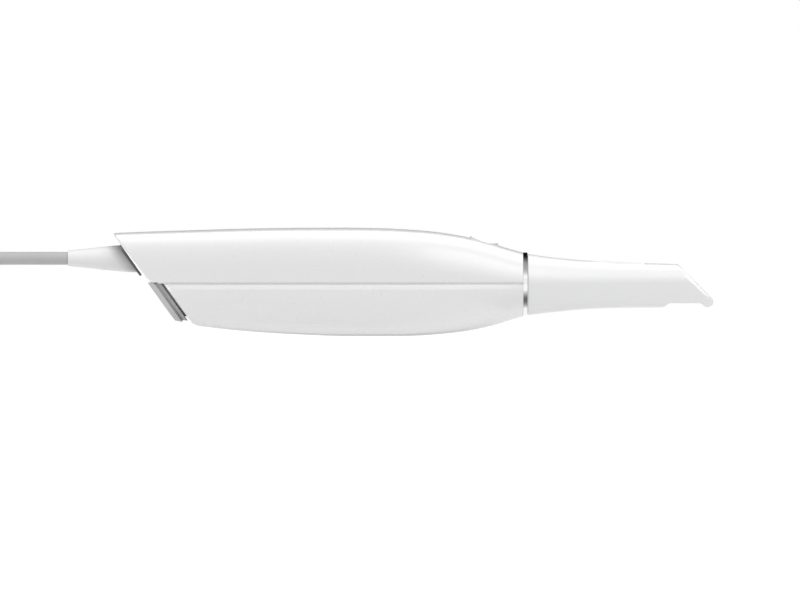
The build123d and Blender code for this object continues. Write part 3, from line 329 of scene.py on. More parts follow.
def surf(tab, x, phi, off=0.0):
    """y, z of the outline's section at x, moved inwards by off."""
    top, bot, w, nu, nl = (f(x) for f in tab)
    c, s = np.cos(phi), np.sin(phi)
    ca, sa = np.abs(c) + 1e-12, np.abs(s) + 1e-12
    h = np.where(s >= 0, top - AXIS_Z, AXIS_Z - bot)
    n = np.where(s >= 0, nu, nl)
    r = (ca ** n + sa ** n) ** (-1.0 / n)
    gy = np.sign(c) * (ca * r) ** (n - 1) / w
    gz = np.sign(s) * (sa * r) ** (n - 1) / h
    g = np.hypot(gy, gz)
    return w * r * c - off * gy / g, AXIS_Z + h * r * s - off * gz / g


def side_y(tab, x, z):
    """Half width at level z, and the section's angle there."""
    top, bot, w, nu, nl = (f(x) for f in tab)
    dz = z - AXIS_Z
    h = np.where(dz >= 0, top - AXIS_Z, AXIS_Z - bot)
    n = np.where(dz >= 0, nu, nl)
    q = np.clip(np.abs(dz) / h, 0, 1)
    c = (1 - q ** n) ** (1.0 / n)
    return w * c, np.arctan2(np.sign(dz) * q, c)


def strip(n_rows, n_cols, closed_cols=True, closed_rows=False):
    f = []
    for i in range(n_rows if closed_rows else n_rows - 1):
        i2 = (i + 1) % n_rows
        for j in range(n_cols if closed_cols else n_cols - 1):
            j2 = (j + 1) % n_cols
            f.append((i * n_cols + j, i * n_cols + j2, i2 * n_cols + j2, i2 * n_cols + j))
    return f


def build(name, verts, faces, finish, body, replaces=(), sharp=32.0, scale=MM):
    """A named piece from millimetre vertices."""
    me = bpy.data.meshes.new(name)
    me.from_pydata((np.asarray(verts, float) * scale).tolist(), [], [list(f) for f in faces])
    bm = bmesh.new()
    bm.from_mesh(me)
    bmesh.ops.remove_doubles(bm, verts=bm.verts, dist=1e-7)
    bmesh.ops.recalc_face_normals(bm, faces=bm.faces)
    bm.to_mesh(me)
    bm.free()
    ob = bpy.data.objects.new(name, me)
    scene.collection.objects.link(ob)
    finish_mesh(ob, sharp)
    me.materials.append(M[finish])
    if body:
        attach(ob, body)
    if replaces:
        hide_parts(*replaces)
    return ob


def finish_mesh(ob, sharp):
    me = ob.data
    me.polygons.foreach_set("use_smooth", np.ones(len(me.polygons), bool))
    me.set_sharp_from_angle(angle=math.radians(sharp))
    me.update()


def cut(ob, cutters, sharp=32.0, op="DIFFERENCE"):
    """Boolean with scratch objects, applied, and the scratch objects removed."""
    for c in cutters:
        mod = ob.modifiers.new("cut", "BOOLEAN")
        mod.operation, mod.solver, mod.object = op, "EXACT", c
    bpy.context.view_layer.update()
    dg = bpy.context.evaluated_depsgraph_get()
    new = bpy.data.meshes.new_from_object(ob.evaluated_get(dg), depsgraph=dg)
    ob.modifiers.clear()
    mats = [m for m in ob.data.materials]
    ob.data = new
    new.materials.clear()
    for m in mats[:1]:
        new.materials.append(m)
    new.polygons.foreach_set("material_index", np.zeros(len(new.polygons), np.int32))
    for c in cutters:
        bpy.data.objects.remove(c)
    finish_mesh(ob, sharp)
    return ob


def scratch(name, verts, faces):
    me = bpy.data.meshes.new(name)
    me.from_pydata((np.asarray(verts, float) * MM).tolist(), [], [list(f) for f in faces])
    bm = bmesh.new()
    bm.from_mesh(me)
    bmesh.ops.recalc_face_normals(bm, faces=bm.faces)
    bm.to_mesh(me)
    bm.free()
    ob = bpy.data.objects.new(name, me)
    scene.collection.objects.link(ob)
    ob.hide_render = True
    return ob


def prism(name, loop_a, loop_b):
    """Closed scratch solid between two matching loops."""
    n = len(loop_a)
    faces = strip(2, n) + [tuple(range(n - 1, -1, -1)), tuple(range(n, 2 * n))]
    return scratch(name, list(loop_a) + list(loop_b), faces)


def rounded_rect(hx, hy, r, seg=6):
    pts = []
    for cx, cy, a0 in ((hx - r, hy - r, 0), (-hx + r, hy - r, 90), (-hx + r, -hy + r, 180), (hx - r, -hy + r, 270)):
        for k in range(seg + 1):
            a = math.radians(a0 + 90.0 * k / seg)
            pts.append((cx + r * math.cos(a), cy + r * math.sin(a)))
    return pts


# ============================================================================
# the free cable: one spline from the boot, along the surface, and into its hank
# ============================================================================
CABLE_D, CABLE_Z = 5.5, 33.0
route = [(-137.0, 0.0, 33.0), (-166.5, 0.0, 33.0), (-176.0, 0.0, 33.0), (-214.5, -1.5, 21.3), (-241.5, -5.5, 4.4),
         (-259.0, -11.5, 2.75), (-272.5, -17.6, 2.75), (-285.0, -21.8, 2.75), (-295.5, -22.75, 2.75)]
NEAR_C, FAR_C, TIE_X = -301.3, -384.9, -348.0
LANE_R, LANE_W, PITCH = 22.55, 10.2, 5.62
LEVEL = (2.76, 8.30, 13.84)
PZ, PXX = 20.9, -334.5


def ease(t):
    t = min(1.0, max(0.0, t))
    return t * t * t * (t * (6 * t - 15) + 10)


def spot(q, o, z):
    """A point of the hank: q counts half loops, o is 0 in the outer lane and 1 in the inner one."""
    seg, f = int(q) % 4, q - math.floor(q)
    if seg in (1, 3):
        a = (-PI / 2 if seg == 1 else PI / 2) - PI * f
        r = LANE_R - PITCH * o
        return ((FAR_C if seg == 1 else NEAR_C) + r * math.cos(a), r * math.sin(a), z)
    x = NEAR_C + (FAR_C - NEAR_C) * (f if seg == 0 else 1 - f)
    a, run = ((NEAR_C - x) / (NEAR_C - TIE_X), NEAR_C - TIE_X) if x > TIE_X else ((x - FAR_C) / (TIE_X - FAR_C), FAR_C - TIE_X)
    y = LANE_R - (LANE_R - LANE_W) * (0.5 - 0.5 * math.cos(PI * a))
    slope = (LANE_R - LANE_W) * 0.5 * math.sin(PI * a) * PI / run
    n = math.hypot(1.0, slope)
    x, y = x + PITCH * o * slope / n, y - PITCH * o / n
    return (x, -y if seg == 0 else y, z)


# each turn changes lane or climbs one segment earlier than the turn below it, so none meets another
STEPS = 14
for i in range(1, STEPS * 19 + 1):
    q = i / STEPS
    route.append(spot(q, ease(q - 3) - ease(q - 9) + ease(q - 15),
                      LEVEL[0] + (LEVEL[1] - LEVEL[0]) * ease(q - 6) + (LEVEL[2] - LEVEL[1]) * ease(q - 12)
                      + 5.6 * ease((q - 18.45) / 0.55)))
# the last fold lies on the hank and bends back into the plug
FOLD_R, BACK_R, top_z = LANE_R - PITCH, 22.0, LEVEL[2] + 5.6
beta = math.acos(BACK_R / (FOLD_R + BACK_R))
for k in range(1, 19):
    a = (PI + beta) * k / 18
    route.append((NEAR_C + FOLD_R * math.sin(a), FOLD_R * math.cos(a), top_z + (PZ - top_z) * ease(k / 18)))
back_x = NEAR_C - (FOLD_R + BACK_R) * math.sin(beta)
for k in range(4, -1, -1):
    a = beta * k / 5
    route.append((back_x + BACK_R * math.sin(a), -BACK_R * (1 - math.cos(a)), PZ))
route.append((PXX, 0.0, PZ))

curve = bpy.data.curves.new("cable_line", "CURVE")
curve.dimensions = "3D"
spl = curve.splines.new("NURBS")
spl.points.add(len(route) - 1)
for i, p in enumerate(route):
    spl.points[i].co = (p[0] * MM, p[1] * MM, p[2] * MM, 1.0)
spl.order_u = 3
spl.use_endpoint_u = True
spl.resolution_u = 4
curve.bevel_depth = CABLE_D / 2 * MM
curve.bevel_resolution = 6
curve.use_fill_caps = True
curve.materials.append(M["cable"])
cable = bpy.data.objects.new("cable_cord", curve)
scene.collection.objects.link(cable)
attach(cable, "handle")
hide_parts("cable", "cable_hank", "cable_tail")


# ============================================================================
# handle shells
# ============================================================================
def handle_shell(name, sgn, zs, r_seam, t_rear, r_rear, n_out=104, n_len=150, r_front=0.2, floor_z=None, corner=0.0,
                 lead=0.0):
    """Thick C-shaped shell: rounded seam edges, rounded slanted rear rim, wall 2 mm."""
    K = 6
    th = np.linspace(0, PI / 2, K + 1)
    f_out = np.linspace(0, 1, n_out + 1)
    N = n_out + 1
    n_cols = 2 * N + 2 * K
    oi = slice(0, N)
    f2 = slice(N, N + K)
    ii = slice(N + K, 2 * N + K)
    f1 = slice(2 * N + K, 2 * N + 2 * K)

    def place(x, delta):
        """y, z of every column at its own x."""
        y, z = np.zeros(n_cols), np.zeros(n_cols)
        _, a0 = side_y(BODY_F, x[oi], zs + sgn * r_seam)
        phi = a0 + (sgn * PI - 2 * a0) * f_out
        y[oi], z[oi] = surf(BODY_F, x[oi], phi, delta)
        q = np.clip(1.0 - (np.abs(z[oi] - zs) - r_seam) / 2.1, 0.0, 1.0)
        y[oi] -= np.sign(y[oi]) * lead * q * q * (3 - 2 * q)
        t = th[1:]
        zz = zs + sgn * r_seam * (1 - np.sin(t))
        z[f2] = zz
        y[f2] = -(side_y(BODY_F, x[f2], zz)[0] - r_seam * (1 - np.cos(t)) - delta - lead)
        z[f1] = zz[::-1]
        y[f1] = side_y(BODY_F, x[f1], zz[::-1])[0] - r_seam * (1 - np.cos(t[::-1])) - delta - lead
        _, a1 = side_y(BODY_F, x[ii], zs)
        phi = a1 + (sgn * PI - 2 * a1) * f_out[::-1]
        y[ii], z[ii] = surf(BODY_F, x[ii], phi, WALL)
        if sgn > 0:
            z[ii] = np.maximum(z[ii], zs)
        else:
            z[ii] = np.minimum(z[ii], zs)
        if floor_z is not None:
            z[oi] = smax(z[oi], floor_z, 0.10)
        return y, z

    def slanted(t, delta):
        x = np.full(n_cols, -100.0)
        for _ in range(14):
            y, z = place(x, delta)
            x = REAR_X0 + (t - (z - SEAM_Z) * CA) / SA
            if corner:
                q = np.clip(1.0 - np.abs(z - zs) / corner, 0.0, 1.0)
                x = x + 0.8 * corner * (1.0 - np.sqrt(1.0 - 0.98 * q * q))
        y, z = place(x, delta)
        return np.stack([x, y, z], 1)

    rows = []
    for a in th[::-1]:
        rows.append(slanted(t_rear + r_rear * (1 - math.sin(a)), r_rear * (1 - math.cos(a))))
    xa = rows[-1][:, 0]
    xb = X_BAND - r_front
    for g in np.linspace(0, 1, n_len + 1)[1:]:
        x = xa + (xb - xa) * g
        y, z = place(x, 0.0)
        rows.append(np.stack([x, y, z], 1))
    for a in th[1:]:
        x = np.full(n_cols, xb + r_front * math.sin(a))
        y, z = place(x, r_front * (1 - math.cos(a)))
        rows.append(np.stack([x, y, z], 1))
    verts = np.concatenate(rows)
    faces = strip(len(rows), n_cols)
    for base in (0, (len(rows) - 1) * n_cols):
        inner = lambda j: base + 2 * N + K - 1 - j
        for j in range(N - 1):
            faces.append((base + j, base + j + 1, inner(j + 1), inner(j)))
        faces.append(tuple([base + N - 1] + [base + N + k for k in range(K)] + [inner(N - 1)]))
        faces.append(tuple([base, inner(0)] + [base + 2 * N + K + k for k in range(K)]))
    return verts, faces


BT = math.radians(15.5)
BN = np.array([math.sin(BT), 0.0, math.cos(BT)])
BX = np.array([math.cos(BT), 0.0, -math.sin(BT)])
BY = np.array([0.0, 1.0, 0.0])
BC = np.array([39.7, 0.0, 40.15])


def btn_ring(r, u, n=96):
    a = np.linspace(0, 2 * PI, n, endpoint=False)
    return [BC + BN * u + BX * r * math.cos(t) + BY * r * math.sin(t) for t in a]


v, f = handle_shell("shell_top", 1, SEAM_Z + SEAM_GAP / 2, 0.42, 0.0, 1.1, n_out=120, corner=1.7)
shell_top = build("shell_top", v, f, "shell", None)
hole = prism("hole", btn_ring(6.24, -9.0), btn_ring(6.24, 5.0))
shell_top = cut(shell_top, [hole])
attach(shell_top, "handle")
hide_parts("upper_shell")

v, f = handle_shell("shell_bottom", -1, SEAM_Z - SEAM_GAP / 2, 0.62, 5.2, 1.2, floor_z=0.0, lead=0.25)
shell_bottom = build("shell_bottom", v, f, "shell", "handle", ["lower_shell"])

# polished band: flush between the shells and the tip
BAND_X0, BAND_X1, BAND_RI, BAND_RO = X_BAND + 0.01, 58.17, 8.52, 13.6
PIN_Z, PIN_YS = AXIS_Z - 9.9, (-4.0, -1.4, 1.4, 4.0)
ring_profile = [(BAND_X0, BAND_RI), (BAND_X1, BAND_RI)]
for k in range(5):
    a = PI / 2 * k / 4
    ring_profile.append((BAND_X1 - 0.10 * (1 - math.cos(a)), BAND_RO - 0.10 * (1 - math.sin(a))))
for k in range(5):
    a = PI / 2 * k / 4
    ring_profile.append((BAND_X0 + 0.10 * (1 - math.sin(a)), BAND_RO - 0.10 * (1 - math.cos(a))))
v = [(px, pr * math.cos(2 * PI * k / 240), AXIS_Z + pr * math.sin(2 * PI * k / 240)) for k in range(240) for px, pr in ring_profile]
band = build("band_polished", v, strip(240, len(ring_profile), closed_cols=True, closed_rows=True), "chrome", None)
pin_ring = [(0.62 * math.cos(2 * PI * k / 24), 0.62 * math.sin(2 * PI * k / 24)) for k in range(24)]
band = cut(band, [prism("pin_hole", [(X_BAND - 1.0, py + a, PIN_Z + b) for a, b in pin_ring],
                        [(X_BAND + BAND_W + 1.0, py + a, PIN_Z + b) for a, b in pin_ring]) for py in PIN_YS])
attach(band, "handle")
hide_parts("metal_band")


# ============================================================================
# scanner tip
# ============================================================================
def underside(x):
    """Level of the tip's underside: ramp, window recess, and the rolled nose."""
    z = np.where(x < 118.3, 9.9 + (x - 112.9) * (4.0 / 5.4), RECESS_Z)
    z = np.where(x < 112.0, 0.0, z)
    circ = NOSE_Z - np.sqrt(np.clip(NOSE_R ** 2 - (x - NOSE_X) ** 2, 0.0, None))
    return np.where(x > NOSE_X - math.sqrt(NOSE_R ** 2 - (NOSE_Z - RECESS_Z) ** 2), circ, z)


def pad_level(x, y):
    z = np.interp(x, [82.0, 83.0, 92.0, 106.2, 107.6, 108.5], [30.6, 31.4, 31.93, 31.42, 30.94, 29.5])
    fall = np.clip((np.abs(y) - 3.1) / 1.1, 0, 1)
    return np.where((x > 82.0) & (x < 108.5), z - 1.5 * fall ** 2 * (3 - 2 * fall) - 8.0 * (np.abs(y) > 4.2), 0.0)


def tip_outer(x, phi, off=0.0):
    y, z = surf(TIP_F, x, phi, off)
    z = np.where((z > 28.0) & (np.abs(y) < 4.2), smax(z, pad_level(x, y), 0.10), z)
    return y, smax(z, underside(x), 0.22)


def cavity_level(x):
    return np.where(x < 108.5, 0.0, np.where(x < 112.0, 13.0 + (x - 108.5) * 0.6, 15.1))


def tip_inner(x, phi):
    y, z = surf(TIP_F, x, phi, 1.25)
    return y, smax(z, cavity_level(x), 0.2)


def slant_solve(fn, phi, t, x0=128.0):
    """x of each column where it meets the plane t behind the slanted end."""
    want = SLANT_SUM - t * math.sqrt(2)
    x = np.full(len(phi), x0)
    for _ in range(60):
        y, z = fn(x, phi)
        x = np.clip(x - 0.42 * (x + z - want), 60.0, 136.95)
    y, z = fn(x, phi)
    return np.stack([x, y, z], 1)


NT = 160
phi_t = -PI / 2 + np.linspace(0, 2 * PI, NT, endpoint=False)
rows = []
for a in np.linspace(PI / 2, 0, 5):
    x = np.full(NT, 58.26 + 0.3 * (1 - math.sin(a)))
    y, z = tip_outer(x, phi_t, 0.3 * (1 - math.cos(a)))
    rows.append(np.stack([x, y, z], 1))
end = slant_solve(tip_outer, phi_t, COVER_T)
x0 = rows[-1][:, 0]
for g in np.linspace(0, 1, 191)[1:]:
    x = x0 + (end[:, 0] - x0) * g
    y, z = tip_outer(x, phi_t)
    rows.append(np.stack([x, y, z], 1))
rows[-1] = end
iend = slant_solve(tip_inner, phi_t, COVER_T)
rows.append(iend)
for g in np.linspace(0, 1, 41)[1:]:
    x = iend[:, 0] + (93.2 - iend[:, 0]) * g
    y, z = tip_inner(x, phi_t)
    rows.append(np.stack([x, y, z], 1))
for x in (93.2, 84.0, 72.0, 58.95, 58.26):
    r = 8.58 if x > 58.7 else 8.95
    rows.append(np.stack([np.full(NT, x), r * np.cos(phi_t), AXIS_Z + r * np.sin(phi_t)], 1))
tip_body = build("tip_body", np.concatenate(rows), strip(len(rows), NT, True, True), "tip", None)
wx, wy = 5.5, 6.2
win = rounded_rect(wx, wy, 1.4)
cutters = [prism("window", [(125.1 + p[0], p[1], 12.0) for p in win], [(125.1 + p[0], p[1], 16.4) for p in win])]
for py in (-4.0, -1.4, 1.4, 4.0):
    sq = rounded_rect(0.85, 0.85, 0.15, 2)
    cutters.append(prism("pocket", [(58.0, py + p[0], 12.0 + p[1]) for p in sq], [(59.22, py + p[0], 12.0 + p[1]) for p in sq]))
tip_body = cut(tip_body, cutters)
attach(tip_body, "tip")
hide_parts("tip_sleeve")

rise = np.clip((0.97 - np.sin(phi_t)) / 0.75, 0.0, 1.0)
R_RIM = 0.35 + 1.50 * rise * rise * (3 - 2 * rise)


def cover_ring(t, delta):
    want = SLANT_SUM - t * math.sqrt(2)
    x = np.full(NT, 128.0)
    for _ in range(60):
        y, z = surf(TIP_F, x, phi_t, delta)
        x = x - 0.45 * (x + z - want)
    y, z = surf(TIP_F, x, phi_t, delta)
    d = x - z
    d_max = (NOSE_X - NOSE_Z) + math.sqrt(2) * np.sqrt(np.maximum(NOSE_R ** 2 - (NOSE_R - t) ** 2, 0.0))
    d = -smax(-d, -d_max * np.ones(NT), 0.18)
    return np.stack([(want + d) / 2, y, (want - d) / 2], 1)


rows = [cover_ring(COVER_T, 0.0), cover_ring(1.85, 0.0)]
rows[0] = end.copy()
for a in np.linspace(0, PI / 2, 10):
    rows.append(cover_ring(R_RIM * (1 - math.sin(a)), R_RIM * (1 - math.cos(a))))
rim = rows[-1]
mid = rim.mean(0)
for s in (0.86, 0.68, 0.48, 0.28, 0.12):
    rows.append(mid + (rim - mid) * s)
n_front = len(rows)
verts = np.concatenate(rows)
faces = strip(n_front, NT)
verts = np.concatenate([verts, [mid]])
c0 = len(verts) - 1
last = (n_front - 1) * NT
faces += [(last + j, last + (j + 1) % NT, c0) for j in range(NT)]


def inner_plane(t):
    return slant_solve(tip_inner, phi_t, t)


inner_rows = [iend, inner_plane(1.25)]
m2 = inner_rows[-1].mean(0)
for s in (0.6, 0.25):
    inner_rows.append(m2 + (inner_rows[1] - m2) * s)
b0 = len(verts)
verts = np.concatenate([verts] + inner_rows + [[m2]])
faces += [tuple(b0 + q for q in fc) for fc in strip(len(inner_rows), NT)]
c1 = len(verts) - 1
last = b0 + (len(inner_rows) - 1) * NT
faces += [(last + j, last + (j + 1) % NT, c1) for j in range(NT)]
faces += [(j, (j + 1) % NT, b0 + (j + 1) % NT, b0 + j) for j in range(NT)]
tip_cover = build("tip_cover", verts, faces, "tip", "tip", ["tip_end_cover"])


# ============================================================================
# cable boot
# ============================================================================
def lathe_x(profile, cy, cz, n=112, closed=True):
    a = np.linspace(0, 2 * PI, n, endpoint=False)
    rows = [np.stack([np.full(n, p[0]), cy + p[1] * np.cos(a), cz + p[1] * np.sin(a)], 1) for p in profile]
    return np.concatenate(rows), strip(len(rows), n, True, closed)


bp = np.array([(-137.0, 3.36), (-129.0, 4.12), (-121.3, 4.98), (-115.0, 5.58), (-110.0, 5.90), (-105.0, 6.02), (-99.5, 6.04)])
boot_r = cubic(bp[:, 0], bp[:, 1])
prof = []
for a in np.linspace(PI / 2, 0, 7):
    prof.append((-137.0 + 0.35 * (1 - math.sin(a)), float(boot_r(-136.65)) - 0.35 * (1 - math.cos(a))))
for x in np.linspace(-136.65, -99.5, 70)[1:]:
    prof.append((x, float(boot_r(x))))
prof += [(-99.5, 2.80), (-136.75, 2.80), (-137.0, 3.0)]
v, f = lathe_x(prof, 0.0, CABLE_Z)
build("boot", v, f, "boot", "handle", ["cable_boot"])


# ============================================================================
# dark ring between the boot and the rear end, on the slanted plane
# ============================================================================
def rear_pt(s, y, t):
    return (REAR_X + s * CA + t * SA, y, REAR_Z - s * SA + t * CA)


NC = 120
ca_ = np.linspace(0, 2 * PI, NC, endpoint=False)
rows = []
for t, grow in ((-1.25, -0.32), (-1.17, -0.12), (-1.0, 0.0), (0.6, 0.0), (0.85, -0.1), (0.9, -0.3)):
    rows.append([rear_pt(13.30 + (7.85 + grow) * math.cos(a), (6.55 + grow) * math.sin(a), t) for a in ca_])
for t in (0.9, -1.25):
    rows.append([rear_pt(12.70 + 6.55 * math.cos(a), 5.35 * math.sin(a), t) for a in ca_])
v = np.concatenate([np.array(r) for r in rows])
build("collar", v, strip(len(rows), NC, True, True), "collar", "handle", ["cable_collar"])

# ============================================================================
# button and its light ring, following the curve of the shell
# ============================================================================
def btn_frame(r, a, lift):
    """A point at radius r and angle a round the button, lift above the shell's own surface."""
    dx, dy = r * math.cos(a), r * math.sin(a)
    p = BC + BX * dx + BY * dy
    x = float(p[0])
    for _ in range(3):
        top, bot, w, nu, nl = (float(g(x)) for g in BODY_F)
        z = AXIS_Z + (top - AXIS_Z) * (1 - min(0.99, abs(dy) / w) ** nu) ** (1 / nu)
        u = ((x - BC[0]) * BN[0] + (z - BC[2]) * BN[2])
        x = float(p[0] + BN[0] * u)
    return BC + BX * dx + BY * dy + BN * (u + lift)


NB = 144
ab = np.linspace(0, 2 * PI, NB, endpoint=False)
rows = []
ring_prof = [(6.20, -3.0, 0), (6.20, 0.05, 0), (6.17, 0.30, 1), (6.05, 0.50, 1), (5.82, 0.62, 1), (5.55, 0.62, 1), (5.28, 0.50, 1),
             (5.10, 0.25, 1), (5.05, -0.05, 1), (5.04, -3.0, 0)]
for r, h, free in ring_prof:
    row = []
    for a in ab:
        ends = math.cos(a) ** 2
        lift = h * (0.55 + (0.80 if math.cos(a) > 0 else 0.50) * ends) if free else h
        row.append(btn_frame(r, a, lift))
    rows.append(row)
v = np.concatenate([np.array(r) for r in rows])
build("button_ring", v, strip(len(rows), NB, True, True), "ring", "handle", ["button_light_ring"], sharp=50)

rows = []
cap_prof = [(4.88, -3.4), (4.88, -0.35), (4.84, -0.12), (4.72, 0.02), (4.5, 0.05), (4.2, -0.02), (3.7, -0.16), (3.0, -0.34),
            (2.2, -0.48), (1.4, -0.57), (0.6, -0.61)]
for r, u in cap_prof:
    row = []
    for a in ab:
        edge = btn_frame(4.9, a, 0.0)
        h = float(np.dot(edge - BC, BN)) * (r / 4.9) ** 2
        row.append(BC + BX * r * math.cos(a) + BY * r * math.sin(a) + BN * (u if u < -3 else u + h))
    rows.append(row)
v = np.concatenate([np.array(r) for r in rows])
mid_p = BC + BN * -0.615
v = np.concatenate([v, [mid_p]])
f = strip(len(rows), NB) + [tuple(range(NB - 1, -1, -1))]
last = (len(rows) - 1) * NB
f += [(last + j, last + (j + 1) % NB, len(v) - 1) for j in range(NB)]
build("button_cap", v, f, "button", "button", ["scan_button"])


# ============================================================================
# rear cap and vent frame with rounded edges
# ============================================================================
def soften(node, name, finish, width):
    """A copy of a CAD piece with its sharp edges rounded."""
    src = NODES[node]
    me = src.data.copy()
    ob = bpy.data.objects.new(name, me)
    scene.collection.objects.link(ob)
    ob.matrix_world = src.matrix_world.copy()
    bm = bmesh.new()
    bm.from_mesh(me)
    bmesh.ops.remove_doubles(bm, verts=bm.verts, dist=2e-6)
    bmesh.ops.dissolve_limit(bm, angle_limit=math.radians(1.0), verts=bm.verts, edges=bm.edges)
    bmesh.ops.recalc_face_normals(bm, faces=bm.faces)
    bm.to_mesh(me)
    bm.free()
    if me.has_custom_normals:
        bpy.context.view_layer.update()
        me.attributes.remove(me.attributes["custom_normal"])
    mod = ob.modifiers.new("edge", "BEVEL")
    mod.width, mod.segments, mod.limit_method, mod.angle_limit = width * MM, 3, "ANGLE", math.radians(38)
    bpy.context.view_layer.update()
    dg = bpy.context.evaluated_depsgraph_get()
    new = bpy.data.meshes.new_from_object(ob.evaluated_get(dg), depsgraph=dg)
    ob.modifiers.clear()
    ob.data = new
    new.materials.clear()
    new.materials.append(M[finish])
    finish_mesh(ob, 30)
    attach(ob, "handle")
    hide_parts(node)
    return ob


def rear_loop(t, off, n=180, top=22.0):
    """Loop of the lower outline, moved in by off, on the plane t behind the rear end."""
    phi = np.linspace(-PI, PI, n, endpoint=False)
    x = np.full(n, -100.0)
    for _ in range(16):
        y, z = surf(BODY_F, x, phi, off)
        z = np.minimum(z, top)
        x = REAR_X0 + (t - (z - SEAM_Z) * CA) / SA
    return np.stack([x, y, z], 1)


rows = [rear_loop(1.9, 0.80), rear_loop(2.60, 0.95)]
n = len(rows[0])
build("cap_seal", np.concatenate(rows), strip(2, n) + [tuple(range(n - 1, -1, -1)), tuple(range(n, 2 * n))], "vent", "handle",
      [])
soften("rear_cap", "cap_rounded", "cap", 0.32)
soften("vent_frame", "vent_rounded", "vent", 0.30)


# ============================================================================
# plug and strap of the put-away cable
# ============================================================================
rows = []
NP = 72
ang = np.linspace(0, 2 * PI, NP, endpoint=False)


def superloop(x, hy, hz, n):
    c, s = np.cos(ang), np.sin(ang)
    r = (np.abs(c) ** n + np.abs(s) ** n) ** (-1.0 / n)
    return np.stack([np.full(NP, x), hy * r * c, PZ + hz * r * s], 1)


rows.append(superloop(PXX, 3.15, 3.15, 2.0))
for k in range(41):                                  # ribbed bend relief
    x = PXX - 0.25 - 8.2 * k / 40
    base = 3.40 + 0.65 * k / 40
    groove = 0.42 * (0.5 - 0.5 * math.cos(2 * PI * k / 10.0))
    rows.append(superloop(x, base - groove, base - groove, 2.0))
for g in np.linspace(0, 1, 9)[1:]:                   # shoulder into the grip
    e = g * g * (3 - 2 * g)
    rows.append(superloop(PXX - 8.45 - 2.6 * g, 4.05 + (7.95 - 4.05) * e, 4.05 + (4.22 - 4.05) * e, 2.0 + 3.4 * e))
for k in range(33):                                  # grip with finger ribs
    x = PXX - 11.05 - 23.9 * k / 32
    rib = 0.28 * (0.5 - 0.5 * math.cos(2 * PI * (k - 6) / 3.0)) if 6 <= k <= 24 else 0.0
    rows.append(superloop(x, 7.97 - rib, 4.23, 5.4))
for a in np.linspace(0, PI / 2, 6)[1:]:
    rows.append(superloop(PXX - 35.0 - math.sin(a), 7.97 - (1 - math.cos(a)), 4.23 - (1 - math.cos(a)), 5.4))
v = np.concatenate(rows)
f = strip(len(rows), NP) + [tuple(range(NP - 1, -1, -1)), tuple(range((len(rows) - 1) * NP, len(rows) * NP))]
plug_grip = build("plug_grip", v, f, "plug", "handle", ["plug_body"])

TIE_HALF = 5.0
tie_path = [(-13.9, 0.55), (13.9, 0.55), (14.05, 8.0), (13.85, 15.0), (9.4, 25.1), (8.0, 25.75), (-8.0, 25.75), (-9.4, 25.1),
            (-13.85, 15.0), (-14.05, 8.0)]
path = []
n = len(tie_path)
for i in range(n):                                    # rounded corners
    p0, p1, p2 = (np.array(tie_path[(i + k) % n]) for k in (-1, 0, 1))
    d0, d1 = (p0 - p1) / np.linalg.norm(p0 - p1), (p2 - p1) / np.linalg.norm(p2 - p1)
    cr = min(2.2, 0.45 * np.linalg.norm(p0 - p1), 0.45 * np.linalg.norm(p2 - p1))
    for t in np.linspace(0, 1, 7):
        q = (1 - t) ** 2 * (p1 + d0 * cr) + 2 * t * (1 - t) * p1 + t * t * (p1 + d1 * cr)
        path.append(q)
path = np.array(path)
keep = [0]
for i in range(1, len(path)):
    if np.linalg.norm(path[i] - path[keep[-1]]) > 0.05:
        keep.append(i)
path = path[keep]
n = len(path)
tang = np.roll(path, -1, 0) - np.roll(path, 1, 0)
tang /= np.linalg.norm(tang, axis=1)[:, None]
nrm = np.stack([tang[:, 1], -tang[:, 0]], 1)
rows = []
sec = [(-TIE_HALF + 0.3, 0.5), (-2.5, 0.55), (2.5, 0.55), (TIE_HALF - 0.3, 0.5), (TIE_HALF, 0.15), (TIE_HALF, -0.15),
       (TIE_HALF - 0.3, -0.5), (2.5, -0.5), (-2.5, -0.5), (-TIE_HALF + 0.3, -0.5), (-TIE_HALF, -0.15), (-TIE_HALF, 0.15)]
for i in range(n):
    rows.append(np.array([(TIE_X + s[0], path[i][0] + nrm[i][0] * s[1], path[i][1] + nrm[i][1] * s[1]) for s in sec]))
v = np.concatenate(rows)
f = strip(n, len(sec), True, True)
strap = build("strap", v, f, "strap", "handle", ["hank_tie"], sharp=60)

# ============================================================================
# floor and light
# ============================================================================
bpy.ops.mesh.primitive_plane_add(size=1.0)
floor = bpy.context.object
floor.name = "floor"
floor.scale = (14.0, 14.0, 1.0)
fm = material("floor_white", (0.58, 0.58, 0.58, 1.0), rough=0.9, mottled=0.003, mottle_scale=3)
fb = fm.node_tree.nodes["Principled BSDF"]
fb.inputs["Emission Color"].default_value = (1, 1, 1, 1)
fb.inputs["Emission Strength"].default_value = 0.46
fb.inputs["Specular IOR Level"].default_value = 0.0
floor.data.materials.append(fm)
floor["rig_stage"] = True

world = bpy.data.worlds.new("studio")
scene.world = world
world.use_nodes = True
bg = world.node_tree.nodes["Background"]
bg.inputs["Color"].default_value = (1, 1, 1, 1)
bg.inputs["Strength"].default_value = 1.0


def area(name, loc, aim, sx, sy, power, diffuse=True, glossy=True):
    d = bpy.data.lights.new(name, "AREA")
    d.shape, d.size, d.size_y = "RECTANGLE", sx, sy
    d.energy = power
    ob = bpy.data.objects.new(name, d)
    scene.collection.objects.link(ob)
    ob.location = loc
    ob.rotation_mode = "QUATERNION"
    ob.rotation_quaternion = (Vector(aim) - Vector(loc)).to_track_quat("-Z", "Y")
    ob.visible_camera = False
    ob.visible_diffuse = diffuse
    ob.visible_glossy = glossy
    return ob


def radiance(value, sx, sy):
    """Watts that give an area light of sx by sy metres this radiance."""
    return value * sx * sy * PI


